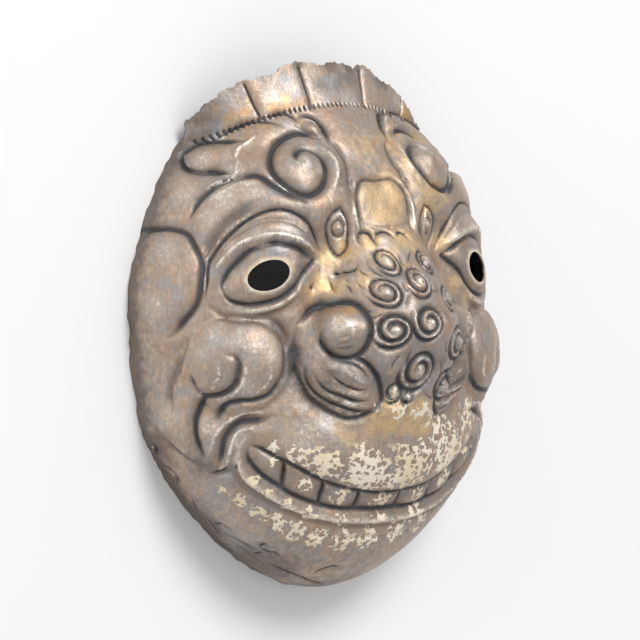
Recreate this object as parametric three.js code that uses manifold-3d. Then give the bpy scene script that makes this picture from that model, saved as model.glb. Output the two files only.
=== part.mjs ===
// A hammered silver face mask of a grotesque being, lying face up on its rim.
// One shell of sheet metal, hollow and open behind, with two pierced eyes.
// Millimetres. X runs to the mask's right-hand side as seen from the front,
// Y runs from the chin to the crown, and Z rises from the rim to the nose.
import * as THREE from 'three';
import { mergeVertices } from 'three/addons/utils/BufferGeometryUtils.js';
import Module from 'manifold-3d';

// Overall shell
const HALF_WIDTH = 108.5;
const HALF_HEIGHT = 135;
const DOME_DEPTH = 84;
const SHEET = 1.2;

// Raised masses of the face
const NOSE_RISE = 33;
const MUZZLE_RISE = 9;
const LIP_RISE = 6;
const BROW_RISE = 8;
const CHEEK_RISE = 10;
const TEMPLE_RISE = 4;
const EYE_RISE = 5.5;
const EYE_GAP_DEPTH = 3.5;
const FOREHEAD_BOSS_RISE = 2;
const NOSTRIL_RISE = 5;
const WING_RISE = 3.5;
const SCROLL_RISE = 2.5;

// Chased lines and rounded edges
const DEEP_LINE = 2.3;
const DEEP_LINE_WIDTH = 1.8;
const LINE = 1.6;
const LINE_WIDTH = 1.5;
const FINE_LINE = 1.0;
const FINE_LINE_WIDTH = 1.2;
const RIDGE = 1.3;
const RIDGE_WIDTH = 2.2;
const PILLOW_DEPTH = 1.5;
const PILLOW_WIDTH = 4.6;

// Curls of the nose
const NOSE_CURL_RADIUS = 9.2;
const SMALL_CURL_RADIUS = 6.4;
const CURL_CORE_RADIUS = 2.2;
const CURL_BOSS_RISE = 1.2;
const CURL_LINE = 1.5;
const CURL_LINE_WIDTH = 1.5;

// Eyes
const EYE_HOLE_LENGTH = 22;
const EYE_HOLE_HEIGHT = 14.8;
const EYE_HOLE_TILT = 21;

// Mouth
const MOUTH_DEPTH = 1.6;
const TOOTH_RISE = 1.4;

// Crown band
const ROPE_RADIUS = 139;
const ROPE_RISE = 1.1;
const ROPE_WIDTH = 1.8;
const CROWN_LEAN = 20;
const CROWN_LINE = 1.3;

// Shape of the mesh
const SAMPLE_STEP = 1.4;
const RIM_STEP = 5;
const FRONT_POINTS = 2350;
const NOSE_CARE = 1.8;

const rad = THREE.MathUtils.degToRad;
const clamp = THREE.MathUtils.clamp;
const smooth = (t) => THREE.MathUtils.smoothstep(t, 0, 1);
const V = (x, y, z) => new THREE.Vector3(x, y, z);

// Straight steps between pairs of position and value
function steps(pairs, at) {
  if (at <= pairs[0][0]) return pairs[0][1];
  for (let i = 1; i < pairs.length; i++) {
    const [x0, v0] = pairs[i - 1];
    const [x1, v1] = pairs[i];
    if (at <= x1) return v0 + (v1 - v0) * (at - x0) / (x1 - x0);
  }
  return pairs[pairs.length - 1][1];
}

// The same, eased so that the slope changes softly
function eased(pairs, at, reach) {
  let sum = 0;
  for (let i = -2; i <= 2; i++) sum += steps(pairs, at + i * reach / 2) * (3 - Math.abs(i));
  return sum / 9;
}

// Plain egg-shaped dome
function dome(x, y) {
  const r = (x / HALF_WIDTH) ** 2 + (y / HALF_HEIGHT) ** 2;
  return V(x, y, DOME_DEPTH * Math.sqrt(Math.max(0, 1 - r)));
}

// The rim draws in towards the chin, and the front of the face does not
const JAW_TAPER = 0.34;

function drawIn(p) {
  const low = clamp((-p.y / HALF_HEIGHT - 0.3) / 0.7, 0, 1);
  const back = Math.max(0, 1 - p.z / DOME_DEPTH);
  p.x *= 1 - JAW_TAPER * low ** 2 * back ** 0.7;
  return p;
}

function domeNormal(p) {
  return V(p.x / HALF_WIDTH ** 2, p.y / HALF_HEIGHT ** 2, p.z / DOME_DEPTH ** 2).normalize();
}

// Places are given in hundredths of the half width and half height
const wide = (x) => x * HALF_WIDTH / 100;
const high = (y) => y * HALF_HEIGHT / 100;
const place = (x, y) => dome(wide(x), high(y));

// A cushion standing on the dome, one at its centre and nought at its edge.
// Its half width and half height are in hundredths of the half height.
function cushion(px, py, halfWide, halfHigh, power, tilt = 0) {
  const centre = place(px, py);
  const out = domeNormal(centre);
  const across = V(out.z, 0, -out.x).normalize();
  const up = V().crossVectors(out, across);
  const c = Math.cos(rad(tilt));
  const s = Math.sin(rad(tilt));
  return (p) => {
    const d = V().subVectors(p, centre);
    const a = d.dot(across);
    const b = d.dot(up);
    const u = (c * a + s * b) / high(halfWide);
    const v = (c * b - s * a) / high(halfHigh);
    if (d.dot(out) < -0.8 * high(Math.max(halfWide, halfHigh))) return 0;
    return Math.max(0, 1 - u * u - v * v) ** power;
  };
}

// Masses raised square to the dome, on the right and mirrored on the left
const MASSES = [
  [BROW_RISE, cushion(48, 51, 37, 23.7, 1.2, -12)],
  [CHEEK_RISE, cushion(75, -12, 21.5, 18.5, 0.75)],
  [TEMPLE_RISE, cushion(95, 17, 20.7, 25.2, 0.8)],
  [EYE_RISE, cushion(63, 24, 24.4, 17.8, 0.9, -24)],
  [-EYE_GAP_DEPTH, cushion(37, 27, 9.6, 22.2, 1.2, 12)],
];
const FOREHEAD_BOSS = cushion(0, 49, 14.8, 16.3, 0.8);
const UPPER_LIP_MASS = cushion(0, -44, 43, 22.2, 1.1);

// Broad nose by height: its half width in hundredths of the mask's, and its share of the full rise
const NOSE_HALF_WIDTH = [
  [-35, 27.6], [-29, 40.6], [-21, 49.8], [-10, 52.5], [3, 46], [15, 35], [26, 26.7], [44, 18.4],
];
const NOSE_PROFILE = [
  [-36, 0], [-32, 0.21], [-27, 0.455], [-14, 0.742], [3, 1], [20, 0.742], [27, 0.485], [35, 0.21], [44, 0],
];
const NOSE_EASE = 5.3;
const PROFILE_EASE = 4;

function nose(x, y) {
  const at = 100 * y / HALF_HEIGHT;
  const q = clamp(Math.abs(x) / wide(eased(NOSE_HALF_WIDTH, at, NOSE_EASE)), 0, 1);
  const across = (1 - q ** 4) ** 0.7 * (0.45 + 0.55 * Math.cos(q * Math.PI / 2));
  return across * eased(NOSE_PROFILE, at, PROFILE_EASE) * NOSE_RISE;
}

function face(x, y) {
  const p = dome(x, y);
  const side = V(Math.abs(p.x), p.y, p.z);
  const muzzle = smooth(3 * (-y / HALF_HEIGHT - 0.15)) * smooth(2 * p.z / DOME_DEPTH);
  let rise = MUZZLE_RISE * muzzle;
  for (const [height, shape] of MASSES) rise += height * shape(side);
  rise += FOREHEAD_BOSS_RISE * FOREHEAD_BOSS(p) + LIP_RISE * UPPER_LIP_MASS(p);
  const q = drawIn(p.clone()).addScaledVector(domeNormal(p), rise);
  q.z += nose(x, y);
  return q;
}

// Crown band: the rope is an arc in front view, and the torn edge stands beyond it.
// The edge is given by angle about the arc's centre, in hundredths of the half height.
const ROPE_X = -0.046 * HALF_WIDTH;
const ROPE_Y = -0.17 * HALF_HEIGHT;
const CROWN_EDGE = [
  [-30.6, 6], [-28, 9.6], [-26, 12], [-24, 13.3], [-22, 14.8], [-18, 16.3], [-14, 15.6], [-11, 15.9],
  [-9, 18.1],
  [-5, 18.5], [-2, 16.3], [0, 17], [3, 17.4], [6, 15.2], [7, 17], [10, 16.3], [12, 12.6], [14, 12.2],
  [18, 10],
  [22, 5.9], [24, 3], [28, 1.1], [41, 0.7],
];
const CROWN_LINES = [-17.5, -6.2, 7.6, 19.5];
const EDGE_TAPER = 20;

function onDome(x, y) {
  return (x / HALF_WIDTH) ** 2 + (y / HALF_HEIGHT) ** 2 < 1;
}

function ropePoint(angle) {
  return [ROPE_X + ROPE_RADIUS * Math.sin(angle), ROPE_Y + ROPE_RADIUS * Math.cos(angle)];
}

// Angle at which the rope meets the rim on one side
function ropeEnd(side) {
  let inner = 0;
  let outer = Math.PI / 2;
  for (let i = 0; i < 50; i++) {
    const middle = (inner + outer) / 2;
    if (onDome(...ropePoint(side * middle))) inner = middle;
    else outer = middle;
  }
  return side * inner;
}
const ROPE_ENDS = [ropeEnd(-1), ropeEnd(1)];

// The foot on the rope, the part of the way to the edge, and the length of the band there
function crownAt(x, y) {
  const angle = Math.atan2(x - ROPE_X, y - ROPE_Y);
  if (Math.hypot(x - ROPE_X, y - ROPE_Y) <= ROPE_RADIUS) return null;
  if (angle <= ROPE_ENDS[0] || angle >= ROPE_ENDS[1]) return null;
  const foot = ropePoint(angle);
  const part = 1 - dome(x, y).z / Math.max(dome(...foot).z, 1e-6);
  const nearEnd = Math.min(1 - angle / ROPE_ENDS[0], 1 - angle / ROPE_ENDS[1]);
  const taper = clamp(EDGE_TAPER * nearEnd, 0, 1);
  const reach = taper * high(steps(CROWN_EDGE, THREE.MathUtils.radToDeg(angle)));
  return { foot, angle, part, reach };
}

// Bare form at a place on the dome
function form(x, y) {
  const crown = crownAt(x, y);
  if (!crown) return face(x, y);
  const flat = Math.cos(rad(CROWN_LEAN));
  const go = V(Math.sin(crown.angle) * flat, Math.cos(crown.angle) * flat, -Math.sin(rad(CROWN_LEAN)));
  return face(...crown.foot).addScaledVector(go, crown.part * crown.reach);
}

// Direction a broad form faces, taken over a small patch
const PATCH = 2.5;
const RIM_BLEND = 12;

function facing(x, y) {
  const crown = crownAt(x, y);
  if (crown) {
    const s = Math.sin(rad(CROWN_LEAN));
    const flat = V(Math.sin(crown.angle) * s, Math.cos(crown.angle) * s, Math.cos(rad(CROWN_LEAN)));
    return flat.lerp(domeNormal(dome(...crown.foot)), 0.5 * (1 - clamp(3 * crown.part, 0, 1))).normalize();
  }
  const p = dome(x, y);
  const n = domeNormal(p);
  const a = V(n.z, 0, -n.x).normalize().multiplyScalar(PATCH);
  const b = V().crossVectors(n, a);
  const spots = [a, a.clone().negate(), b, b.clone().negate()].map((d) => V().addVectors(p, d));
  if (!spots.every((q) => onDome(q.x, q.y))) return n;
  const [e, w, u, d] = spots.map((q) => face(q.x, q.y));
  const m = V().crossVectors(e.sub(w), u.sub(d)).normalize();
  return m.lerp(n, clamp(1 - p.z / RIM_BLEND, 0, 1)).normalize();
}

// A smooth line through a few places
function through(places) {
  const points = places.map(([x, y]) => V(x, y, 0));
  const curve = new THREE.CatmullRomCurve3(points, false, 'centripetal');
  return curve.getPoints(4 * places.length).map((p) => [p.x, p.y]);
}

function mirrored(places) {
  return places.map(([x, y]) => [-x, y]);
}

// A spiral drawn on the dome's own tangent plane, wound in from its outer end
function spiral(px, py, outer, inner, from, turns) {
  const centre = place(px, py);
  const out = domeNormal(centre);
  const across = V(out.z, 0, -out.x).normalize();
  const up = V().crossVectors(out, across);
  const places = [];
  const n = Math.round(14 * Math.abs(turns));
  for (let i = 0; i <= n; i++) {
    const r = outer + (inner - outer) * i / n;
    const a = rad(from) + 2 * Math.PI * turns * i / n;
    const q = centre.clone().addScaledVector(across, r * Math.cos(a)).addScaledVector(up, r * Math.sin(a));
    places.push([100 * q.x / HALF_WIDTH, 100 * q.y / HALF_HEIGHT]);
  }
  return places;
}

// Every chased line: places, depth below the form, and half width
const lines = [];
function line(places, depth, width, both = true) {
  for (const side of both ? [places, mirrored(places)] : [places]) {
    lines.push({ depth, width, points: side.map(([x, y]) => form(wide(x), high(y))) });
  }
}
const deep = (places) => line(through(places), DEEP_LINE, DEEP_LINE_WIDTH);
const plain = (places) => line(through(places), LINE, LINE_WIDTH);
const fine = (places) => line(through(places), FINE_LINE, FINE_LINE_WIDTH);
const ridge = (places) => line(through(places), -RIDGE, RIDGE_WIDTH);

function drawEyes() {
  deep([[40, 28], [48, 32], [56, 34], [62.5, 33], [69, 30.5], [75.5, 25.5], [79, 19.5], [79, 15.5]]);
  plain([[79, 17], [77.5, 13.5], [72, 11.5], [65.5, 11.5], [58, 13.5], [51.5, 17.5], [46, 23], [40, 28]]);
  ridge([[78.5, 26], [71, 33], [62.5, 36], [54.5, 36.5], [46, 34], [38, 30.5]]);
  fine([[84, 17], [82, 24.5], [77.5, 32.5], [69, 40], [61, 43.5], [52.5, 43.5], [46, 40.5], [40.5, 36.5],
    [37, 30.5]]);
  plain([[83, 26], [79.5, 35], [73, 40.5], [64.5, 46], [54.5, 46.5], [46, 45], [40.5, 42], [36, 38],
    [33, 31]]);
  fine([[84, 10.5], [79.5, 7.5], [72, 6.5], [64.5, 7.5], [57, 9.5], [50, 14]]);
}

function drawBrows() {
  deep([[23, 74], [30.5, 76.5], [38, 75], [45, 71], [50, 65], [50.5, 59.5], [46, 53.5], [39.5, 51],
    [32.5, 54], [27.5, 60], [26.5, 66], [31.5, 69.5], [37, 68], [39.5, 64.5], [38, 62]]);
  plain([[16.5, 80.5], [18.5, 74], [15, 69.5], [14, 64.5], [15.5, 59.5], [15.5, 54]]);
  deep([[84, 43.5], [79, 50.5], [73.5, 55], [67.5, 58], [60, 59.5], [56, 58.5], [52.5, 55], [47, 51.5],
    [41.5, 49.5]]);
  plain([[54.5, 73.5], [64.5, 73.5], [71, 70], [74, 67.5], [75.5, 64.5], [73.5, 62], [64.5, 61.5]]);
  ridge([[50.5, 75], [55.5, 73], [60, 69.5], [62, 66], [61, 62]]);
  fine([[59, 76.5], [52.5, 79.5], [43.5, 80.5], [36, 78.5]]);
  fine([[44, 82], [38.5, 83], [33, 82.5], [30.5, 80]]);
  plain([[26, 83], [21, 82], [18.5, 79.5], [20.5, 74]]);
}

function drawForehead() {
  plain([[14.5, 38.5], [15, 44.5], [14.5, 50.5], [12.5, 55], [8, 58], [0, 58]]);
  fine([[13, 40.5], [6.5, 39.5], [0, 39.5]]);
  plain([[25, 46.5], [29.5, 44.5], [32.5, 40], [32, 35], [28.5, 30], [25, 32], [22, 37], [22, 42],
    [25, 46.5]]);
}

function drawTemples() {
  deep([[92, 38.5], [91, 40], [88.5, 40.5], [85.5, 38.5], [85, 34], [84, 27.5], [85, 20.5], [86.5, 13.5],
    [88.5, 9], [91, 4.5], [94, -1.5]]);
}

function drawCheeks() {
  deep([[66.5, 6.5], [61, 5], [57, 1], [55.5, -3.5], [55, -9.5], [55.5, -15.5], [58, -20], [62, -23.5],
    [67.5, -25], [72, -25], [76.5, -26.5], [79.5, -33.5]]);
  deep([[77.5, -7.5], [75, -8], [73.5, -10.5], [73.5, -14], [74.5, -18.5], [77.5, -21.5], [81, -23],
    [84, -23.5]]);
  plain([[88.5, -15], [86.5, -20], [84, -23.5]]);
  deep([[84, -23.5], [85, -30.5], [84, -35.5], [81.5, -40.5], [78.5, -46]]);
  deep([[59, -30.5], [65.5, -32], [71, -32.5], [73.5, -35.5], [74.5, -39.5], [74, -43.5], [73.5, -49.5]]);
  ridge([[62.5, -29], [70, -29.5], [74.5, -32.5], [77.5, -37], [77.5, -43]]);
  plain([[90.5, -3], [91.5, -9.5], [92.5, -15], [93, -21.5], [91, -31]]);
  plain([[90.5, -39.5], [85.5, -44], [77.5, -50.5]]);
}

// Curls of the nose: place, share of the full curl's radius, and the angle where each starts
const LARGE_CURLS = [
  [-0.5, 20, 0.95, 150], [-0.5, 4.5, 1, 60], [-1.5, -13.5, 1.05, 30], [-18.5, 16.5, 0.85, 200],
  [17, 13, 0.8, 60], [-19.5, 1, 0.95, 230], [24, -3.5, 0.95, 60],
];
const SMALL_CURLS = [[-11, 28, 0.95, 200], [12, 27, 1, 40], [-11, -23, 0.75, 200], [21, -22, 1, 60]];
const CURL_TURNS = -1.5;

function drawNose() {
  for (const [curls, radius] of [[LARGE_CURLS, NOSE_CURL_RADIUS], [SMALL_CURLS, SMALL_CURL_RADIUS]]) {
    for (const [x, y, share, from] of curls) {
      const places = spiral(x, y, radius * share, CURL_CORE_RADIUS, from, CURL_TURNS);
      line(places, CURL_LINE, CURL_LINE_WIDTH, false);
    }
  }
}

function drawNostrils() {
  deep([[50, 3.5], [44, 9], [38.5, 12], [33, 13.5], [29.5, 11.5], [28.5, 7.5], [28.5, 2], [29.5, -3],
    [31.5, -6.5], [33.5, -9]]);
  deep([[43.5, 1.5], [44, -2], [43.5, -6], [40.5, -9], [37, -9.5], [33.5, -9]]);
  deep([[50.5, 1.5], [51.5, -4.5], [51, -10.5], [50, -15.5], [46, -21.5], [41.5, -25], [35, -28.5],
    [27.5, -30.5], [20.5, -29]]);
  plain([[33.5, -9], [27.5, -12], [23, -15.5], [20, -20.5], [18.5, -25], [20.5, -29]]);
  plain([[43.5, -12], [38.5, -17], [35, -19.5], [29.5, -21.5], [24, -20.5]]);
  plain([[46, -18.5], [42, -23], [34, -26.5], [28.5, -27.5], [22, -26]]);
}

// Upper and lower edge of the open lips, from the corner to the middle
const UPPER_LIP = [[66.5, -40.5], [62, -42], [53.5, -46], [45, -49.5], [34, -54], [24, -56.5], [13, -58.5],
  [0, -59.5]];
const LOWER_LIP = [[66.5, -41], [65, -46], [61, -50.5], [53.5, -55], [44, -59.5], [31.5, -63.5],
  [16.5, -65.5], [0, -66]];
const LIP_FOLD = [[69, -40.5], [68, -46], [64, -52.5], [55.5, -58], [46, -62.5], [33, -66.5],
  [16.5, -68.5], [0, -69.5]];
const TOOTH_GAPS = [-50.5, -32, -13.5, 11, 32, 49];
const MOUTH_CORNER = 66.5;

// Height of a lip's edge at a distance from the middle
function lipAt(lip, x) {
  return steps([...lip].reverse(), Math.abs(x));
}

function drawMouth() {
  deep(UPPER_LIP);
  deep(LOWER_LIP);
  ridge(LIP_FOLD);
  for (const x of TOOTH_GAPS) {
    const top = lipAt(UPPER_LIP, x);
    const foot = lipAt(LOWER_LIP, x);
    line([[x - 0.7, top], [x + 0.4, (top + foot) / 2], [x + 0.9, foot]], LINE, FINE_LINE_WIDTH, false);
  }
  plain([[71, -44.5], [68.5, -50.5], [62, -57], [50.5, -63], [37, -68], [18.5, -71.5], [0, -72]]);
}

function drawCrown() {
  const arc = [];
  const last = 60;
  for (let i = 1; i < last; i++) {
    arc.push(face(...ropePoint(THREE.MathUtils.lerp(ROPE_ENDS[0], ROPE_ENDS[1], i / last))));
  }
  lines.push({ depth: -ROPE_RISE, width: ROPE_WIDTH, points: arc });
  for (const degrees of CROWN_LINES) {
    const a = rad(degrees);
    const [x, y] = ropePoint(a);
    const points = [];
    for (let i = 1; i <= 10; i++) {
      const q = [x + high(1.2 * i) * Math.sin(a), y + high(1.2 * i) * Math.cos(a)];
      if (onDome(...q)) points.push(form(...q));
    }
    lines.push({ depth: CROWN_LINE, width: CURL_LINE_WIDTH, points });
  }
}

// Shortest distance from a point to a line of points
function distance(p, points) {
  let best = Infinity;
  const d = V();
  const e = V();
  for (let i = 1; i < points.length; i++) {
    e.subVectors(points[i], points[i - 1]);
    d.subVectors(p, points[i - 1]);
    const t = clamp(d.dot(e) / Math.max(e.lengthSq(), 1e-9), 0, 1);
    best = Math.min(best, d.addScaledVector(e, -t).lengthSq());
  }
  return Math.sqrt(best);
}

// Rounded swellings of both sides: rise, place, and radius in hundredths of the half height
const SWELLINGS = [
  [NOSTRIL_RISE, 38.5, 2, 9.6], [WING_RISE, 41.5, -18, 10.4], [SCROLL_RISE, 38.5, 63.5, 11.1],
  [CURL_BOSS_RISE, 36.5, 62.5, 4.4], [SCROLL_RISE, 67.5, 66.5, 8.1], [CURL_BOSS_RISE, 27, 39.5, 2.7],
];

const swellings = [];
function drawSwellings() {
  for (const [height, x, y, radius] of SWELLINGS) {
    for (const side of [-1, 1]) {
      const centre = form(wide(side * x), high(y));
      swellings.push({ height, centre, radius: high(radius) });
    }
  }
  for (const [curls, radius] of [[LARGE_CURLS, NOSE_CURL_RADIUS], [SMALL_CURLS, SMALL_CURL_RADIUS]]) {
    for (const [x, y, share] of curls) {
      swellings.push({ height: CURL_BOSS_RISE, centre: form(wide(x), high(y)), radius: radius * share });
    }
  }
}

function swell(p) {
  let rise = 0;
  for (const s of swellings) {
    const d = p.distanceTo(s.centre) / s.radius;
    if (d < 1) rise += s.height * (1 - d * d) ** 1.2;
  }
  return rise;
}

// The band of teeth lies a little behind the lips, and each tooth is a pillow
function mouthAt(x, y) {
  const [across, height] = [100 * x / HALF_WIDTH, 100 * y / HALF_HEIGHT];
  if (Math.abs(across) > MOUTH_CORNER) return 0;
  const top = lipAt(UPPER_LIP, across);
  const foot = lipAt(LOWER_LIP, across);
  const v = clamp((top - height) / (top - foot), 0, 1);
  const inside = 4 * v * (1 - v);
  const gaps = [-MOUTH_CORNER, ...TOOTH_GAPS, MOUTH_CORNER];
  let tooth = 0;
  for (let i = 1; i < gaps.length; i++) {
    const u = clamp((across - gaps[i - 1]) / (gaps[i] - gaps[i - 1]), 0, 1);
    tooth = Math.max(tooth, 4 * u * (1 - u));
  }
  return TOOTH_RISE * Math.sqrt(inside * tooth) - MOUTH_DEPTH * Math.sqrt(inside);
}

// Carved height above the bare form, without the teeth
function carving(p) {
  let keep = 1;
  let raised = 0;
  let pillow = 1;
  for (const l of lines) {
    const far = 3 * Math.max(l.width, PILLOW_WIDTH);
    if (p.distanceTo(l.centre) > l.reach + far) continue;
    const d = distance(p, l.points);
    const k = Math.exp(-((d / l.width) ** 2));
    if (l.depth > 0) {
      keep *= 1 - k * Math.min(1, l.depth / DEEP_LINE);
      const w = l.depth >= LINE ? PILLOW_WIDTH : 0.5 * PILLOW_WIDTH;
      pillow *= 1 - Math.exp(-((d / w) ** 2)) * Math.min(1, l.depth / DEEP_LINE);
    } else {
      raised = Math.max(raised, -l.depth * k);
    }
  }
  return raised + swell(p) - DEEP_LINE * (1 - keep) - PILLOW_DEPTH * (1 - pillow);
}

function enclose(l) {
  l.centre = l.points.reduce((a, b) => a.add(b), V()).multiplyScalar(1 / l.points.length);
  l.reach = Math.max(...l.points.map((p) => p.distanceTo(l.centre)));
}

// Unrolled plan: an oval whose radius is the angle from the nose to the rim
const PLAN_X = 1.4 * HALF_WIDTH;
const PLAN_Y = 1.29 * HALF_HEIGHT;
const RIM_RELIEF = 0.35;

// Front and back of the sheet at a place on the plan
function skin(a, b) {
  const u = a / PLAN_X;
  const v = b / PLAN_Y;
  const t = Math.min(1, Math.hypot(u, v));
  const k = t > 1e-9 ? Math.sin(t * Math.PI / 2) / t : Math.PI / 2;
  const [x, y] = [u * k * HALF_WIDTH, v * k * HALF_HEIGHT];
  const base = form(x, y);
  const out = facing(x, y);
  if (t > 1 - 1e-9 && !crownAt(x, y)) {
    base.z = 0;
    out.z = 0;
    out.normalize();
  }
  const relief = RIM_RELIEF + (1 - RIM_RELIEF) * clamp((1 - t) * 14, 0, 1);
  const rise = (carving(base) + mouthAt(x, y)) * relief;
  const front = base.clone().addScaledVector(out, rise);
  return { front, back: front.clone().addScaledVector(out, -SHEET), out };
}

// Net of triangles that is refined where it differs most from the true face
class Net {
  constructor(points) {
    this.x = points.map((p) => p[0]);
    this.y = points.map((p) => p[1]);
    this.corner = [];
    this.twin = [];
    this.held = [];
    this.worst = [];
  }

  turn(a, b, px, py) {
    return (this.x[b] - this.x[a]) * (py - this.y[a]) - (this.y[b] - this.y[a]) * (px - this.x[a]);
  }

  link(a, b) {
    this.twin[a] = b;
    if (b >= 0) this.twin[b] = a;
  }

  // Swap the shared edge while the far corner lies inside the circle
  settle(edge, touched) {
    const stack = [edge];
    while (stack.length) {
      const a = stack.pop();
      const b = this.twin[a];
      if (b < 0 || b === undefined) continue;
      const ta = a - a % 3;
      const tb = b - b % 3;
      const a1 = ta + (a + 1) % 3;
      const a2 = ta + (a + 2) % 3;
      const b1 = tb + (b + 1) % 3;
      const b2 = tb + (b + 2) % 3;
      const [p, q, r, s] = [this.corner[a2], this.corner[a], this.corner[a1], this.corner[b2]];
      if (!this.inCircle(p, q, r, s)) continue;
      if (this.turn(p, q, this.x[s], this.y[s]) <= 1e-9) continue;
      if (this.turn(s, r, this.x[p], this.y[p]) <= 1e-9) continue;
      const [ea1, ea2, eb1, eb2] = [this.twin[a1], this.twin[a2], this.twin[b1], this.twin[b2]];
      this.set(ta, p, q, s);
      this.set(tb, p, s, r);
      this.link(ta, ea2);
      this.link(ta + 1, eb1);
      this.link(ta + 2, tb);
      this.link(tb + 1, eb2);
      this.link(tb + 2, ea1);
      const held = [...this.held[ta / 3], ...this.held[tb / 3]];
      this.share(held, [ta / 3, tb / 3]);
      touched.add(ta / 3);
      touched.add(tb / 3);
      stack.push(ta + 1, tb + 1);
    }
  }

  inCircle(a, b, c, d) {
    const [dx, dy] = [this.x[d], this.y[d]];
    const m = [a, b, c].map((i) => [this.x[i] - dx, this.y[i] - dy]);
    const n = m.map(([x, y]) => x * x + y * y);
    const det = m[0][0] * (m[1][1] * n[2] - m[2][1] * n[1])
      - m[0][1] * (m[1][0] * n[2] - m[2][0] * n[1])
      + n[0] * (m[1][0] * m[2][1] - m[1][1] * m[2][0]);
    return det > 1e-7;
  }

  set(t, a, b, c) {
    this.corner[t] = a;
    this.corner[t + 1] = b;
    this.corner[t + 2] = c;
  }

  inside(t, px, py) {
    const [a, b, c] = this.corner.slice(3 * t, 3 * t + 3);
    return Math.min(this.turn(a, b, px, py), this.turn(b, c, px, py), this.turn(c, a, px, py));
  }

  // Give each waiting sample to the triangle that holds it
  share(held, triangles) {
    for (const t of triangles) this.held[t] = [];
    for (const s of held) {
      let best = triangles[0];
      let most = -Infinity;
      for (const t of triangles) {
        const m = this.inside(t, s.x, s.y);
        if (m > most) [best, most] = [t, m];
      }
      this.held[best].push(s);
    }
  }
}

function misfit(net, t, s, skins) {
  const [a, b, c] = net.corner.slice(3 * t, 3 * t + 3);
  const area = net.turn(a, b, net.x[c], net.y[c]);
  const u = net.turn(b, c, s.x, s.y) / area;
  const v = net.turn(c, a, s.x, s.y) / area;
  const w = 1 - u - v;
  const q = V().addScaledVector(skins[a].front, u).addScaledVector(skins[b].front, v);
  q.addScaledVector(skins[c].front, w);
  return s.care * Math.abs(q.sub(s.skin.front).dot(s.skin.out));
}

function findWorst(net, t, skins) {
  let best = { miss: 0, sample: null };
  for (const s of net.held[t]) {
    if (net.inside(t, s.x, s.y) < 0.05) continue;
    const miss = misfit(net, t, s, skins);
    if (miss > best.miss) best = { miss, sample: s };
  }
  net.worst[t] = best;
}

function rimPlaces() {
  const around = Math.PI * (PLAN_X + PLAN_Y);
  const n = Math.round(around / RIM_STEP);
  const places = [];
  for (let i = 0; i < n; i++) {
    const a = 2 * Math.PI * i / n;
    places.push([PLAN_X * Math.cos(a), PLAN_Y * Math.sin(a)]);
  }
  return places;
}

function faceNet() {
  const rim = rimPlaces();
  const net = new Net([...rim, [0, 0]]);
  const n = rim.length;
  const skins = net.x.map((x, i) => skin(x, net.y[i]));
  for (let i = 0; i < n; i++) {
    net.corner.push(n, i, (i + 1) % n);
    net.twin.push(3 * ((i + n - 1) % n) + 2, -1, 3 * ((i + 1) % n));
    net.held.push([]);
    net.worst.push({ miss: 0, sample: null });
  }
  const samples = [];
  for (let x = -PLAN_X; x < PLAN_X; x += SAMPLE_STEP) {
    for (let y = -PLAN_Y; y < PLAN_Y; y += SAMPLE_STEP) {
      if (Math.hypot(x / PLAN_X, y / PLAN_Y) > 0.985) continue;
      const face = skin(x, y);
      const care = nose(face.front.x, face.front.y) > NOSE_RISE / 3 ? NOSE_CARE : 1;
      samples.push({ x, y, skin: face, care });
    }
  }
  for (const s of samples) {
    const a = Math.atan2(s.y / PLAN_Y, s.x / PLAN_X);
    const i = Math.floor(((a / (2 * Math.PI) + 1) % 1) * n) % n;
    net.held[i].push(s);
  }
  for (let t = 0; t < n; t++) findWorst(net, t, skins);
  while (net.x.length < FRONT_POINTS) {
    let t = 0;
    for (let i = 1; i < net.worst.length; i++) if (net.worst[i].miss > net.worst[t].miss) t = i;
    const s = net.worst[t].sample;
    if (!s) break;
    insert(net, t, s, skins);
  }
  return { net, skins, rim: n };
}

function insert(net, t, s, skins) {
  const p = net.x.length;
  net.x.push(s.x);
  net.y.push(s.y);
  skins.push(s.skin);
  const [a, b, c] = net.corner.slice(3 * t, 3 * t + 3);
  const [ab, bc, ca] = net.twin.slice(3 * t, 3 * t + 3);
  const t2 = net.corner.length / 3;
  const t3 = t2 + 1;
  net.set(3 * t, a, b, p);
  net.set(3 * t2, b, c, p);
  net.set(3 * t3, c, a, p);
  net.link(3 * t, ab);
  net.link(3 * t2, bc);
  net.link(3 * t3, ca);
  net.link(3 * t + 1, 3 * t2 + 2);
  net.link(3 * t2 + 1, 3 * t3 + 2);
  net.link(3 * t3 + 1, 3 * t + 2);
  const held = net.held[t].filter((q) => q !== s);
  net.share(held, [t, t2, t3]);
  const touched = new Set([t, t2, t3]);
  for (const e of [3 * t, 3 * t2, 3 * t3]) net.settle(e, touched);
  for (const i of touched) findWorst(net, i, skins);
}

function toSolid(wasm, geometry) {
  geometry.deleteAttribute('normal');
  geometry.deleteAttribute('uv');
  const merged = mergeVertices(geometry, 1e-4);
  return new wasm.Manifold(new wasm.Mesh({
    numProp: 3,
    vertProperties: new Float32Array(merged.attributes.position.array),
    triVerts: new Uint32Array(merged.index.array),
  }));
}

// Front and back skins share one net and are joined along the rim
function shellSolid(wasm) {
  const { net, skins, rim } = faceNet();
  const n = skins.length;
  const points = [];
  for (const side of ['front', 'back']) for (const s of skins) points.push(...s[side].toArray());
  const index = [];
  for (let i = 0; i < net.corner.length; i += 3) {
    const [a, b, c] = net.corner.slice(i, i + 3);
    index.push(a, b, c, n + a, n + c, n + b);
  }
  for (let i = 0; i < rim; i++) {
    const j = (i + 1) % rim;
    index.push(i, n + i, j, j, n + i, n + j);
  }
  const geometry = new THREE.BufferGeometry();
  geometry.setAttribute('position', new THREE.Float32BufferAttribute(points, 3));
  geometry.setIndex(index);
  return toSolid(wasm, geometry);
}

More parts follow.
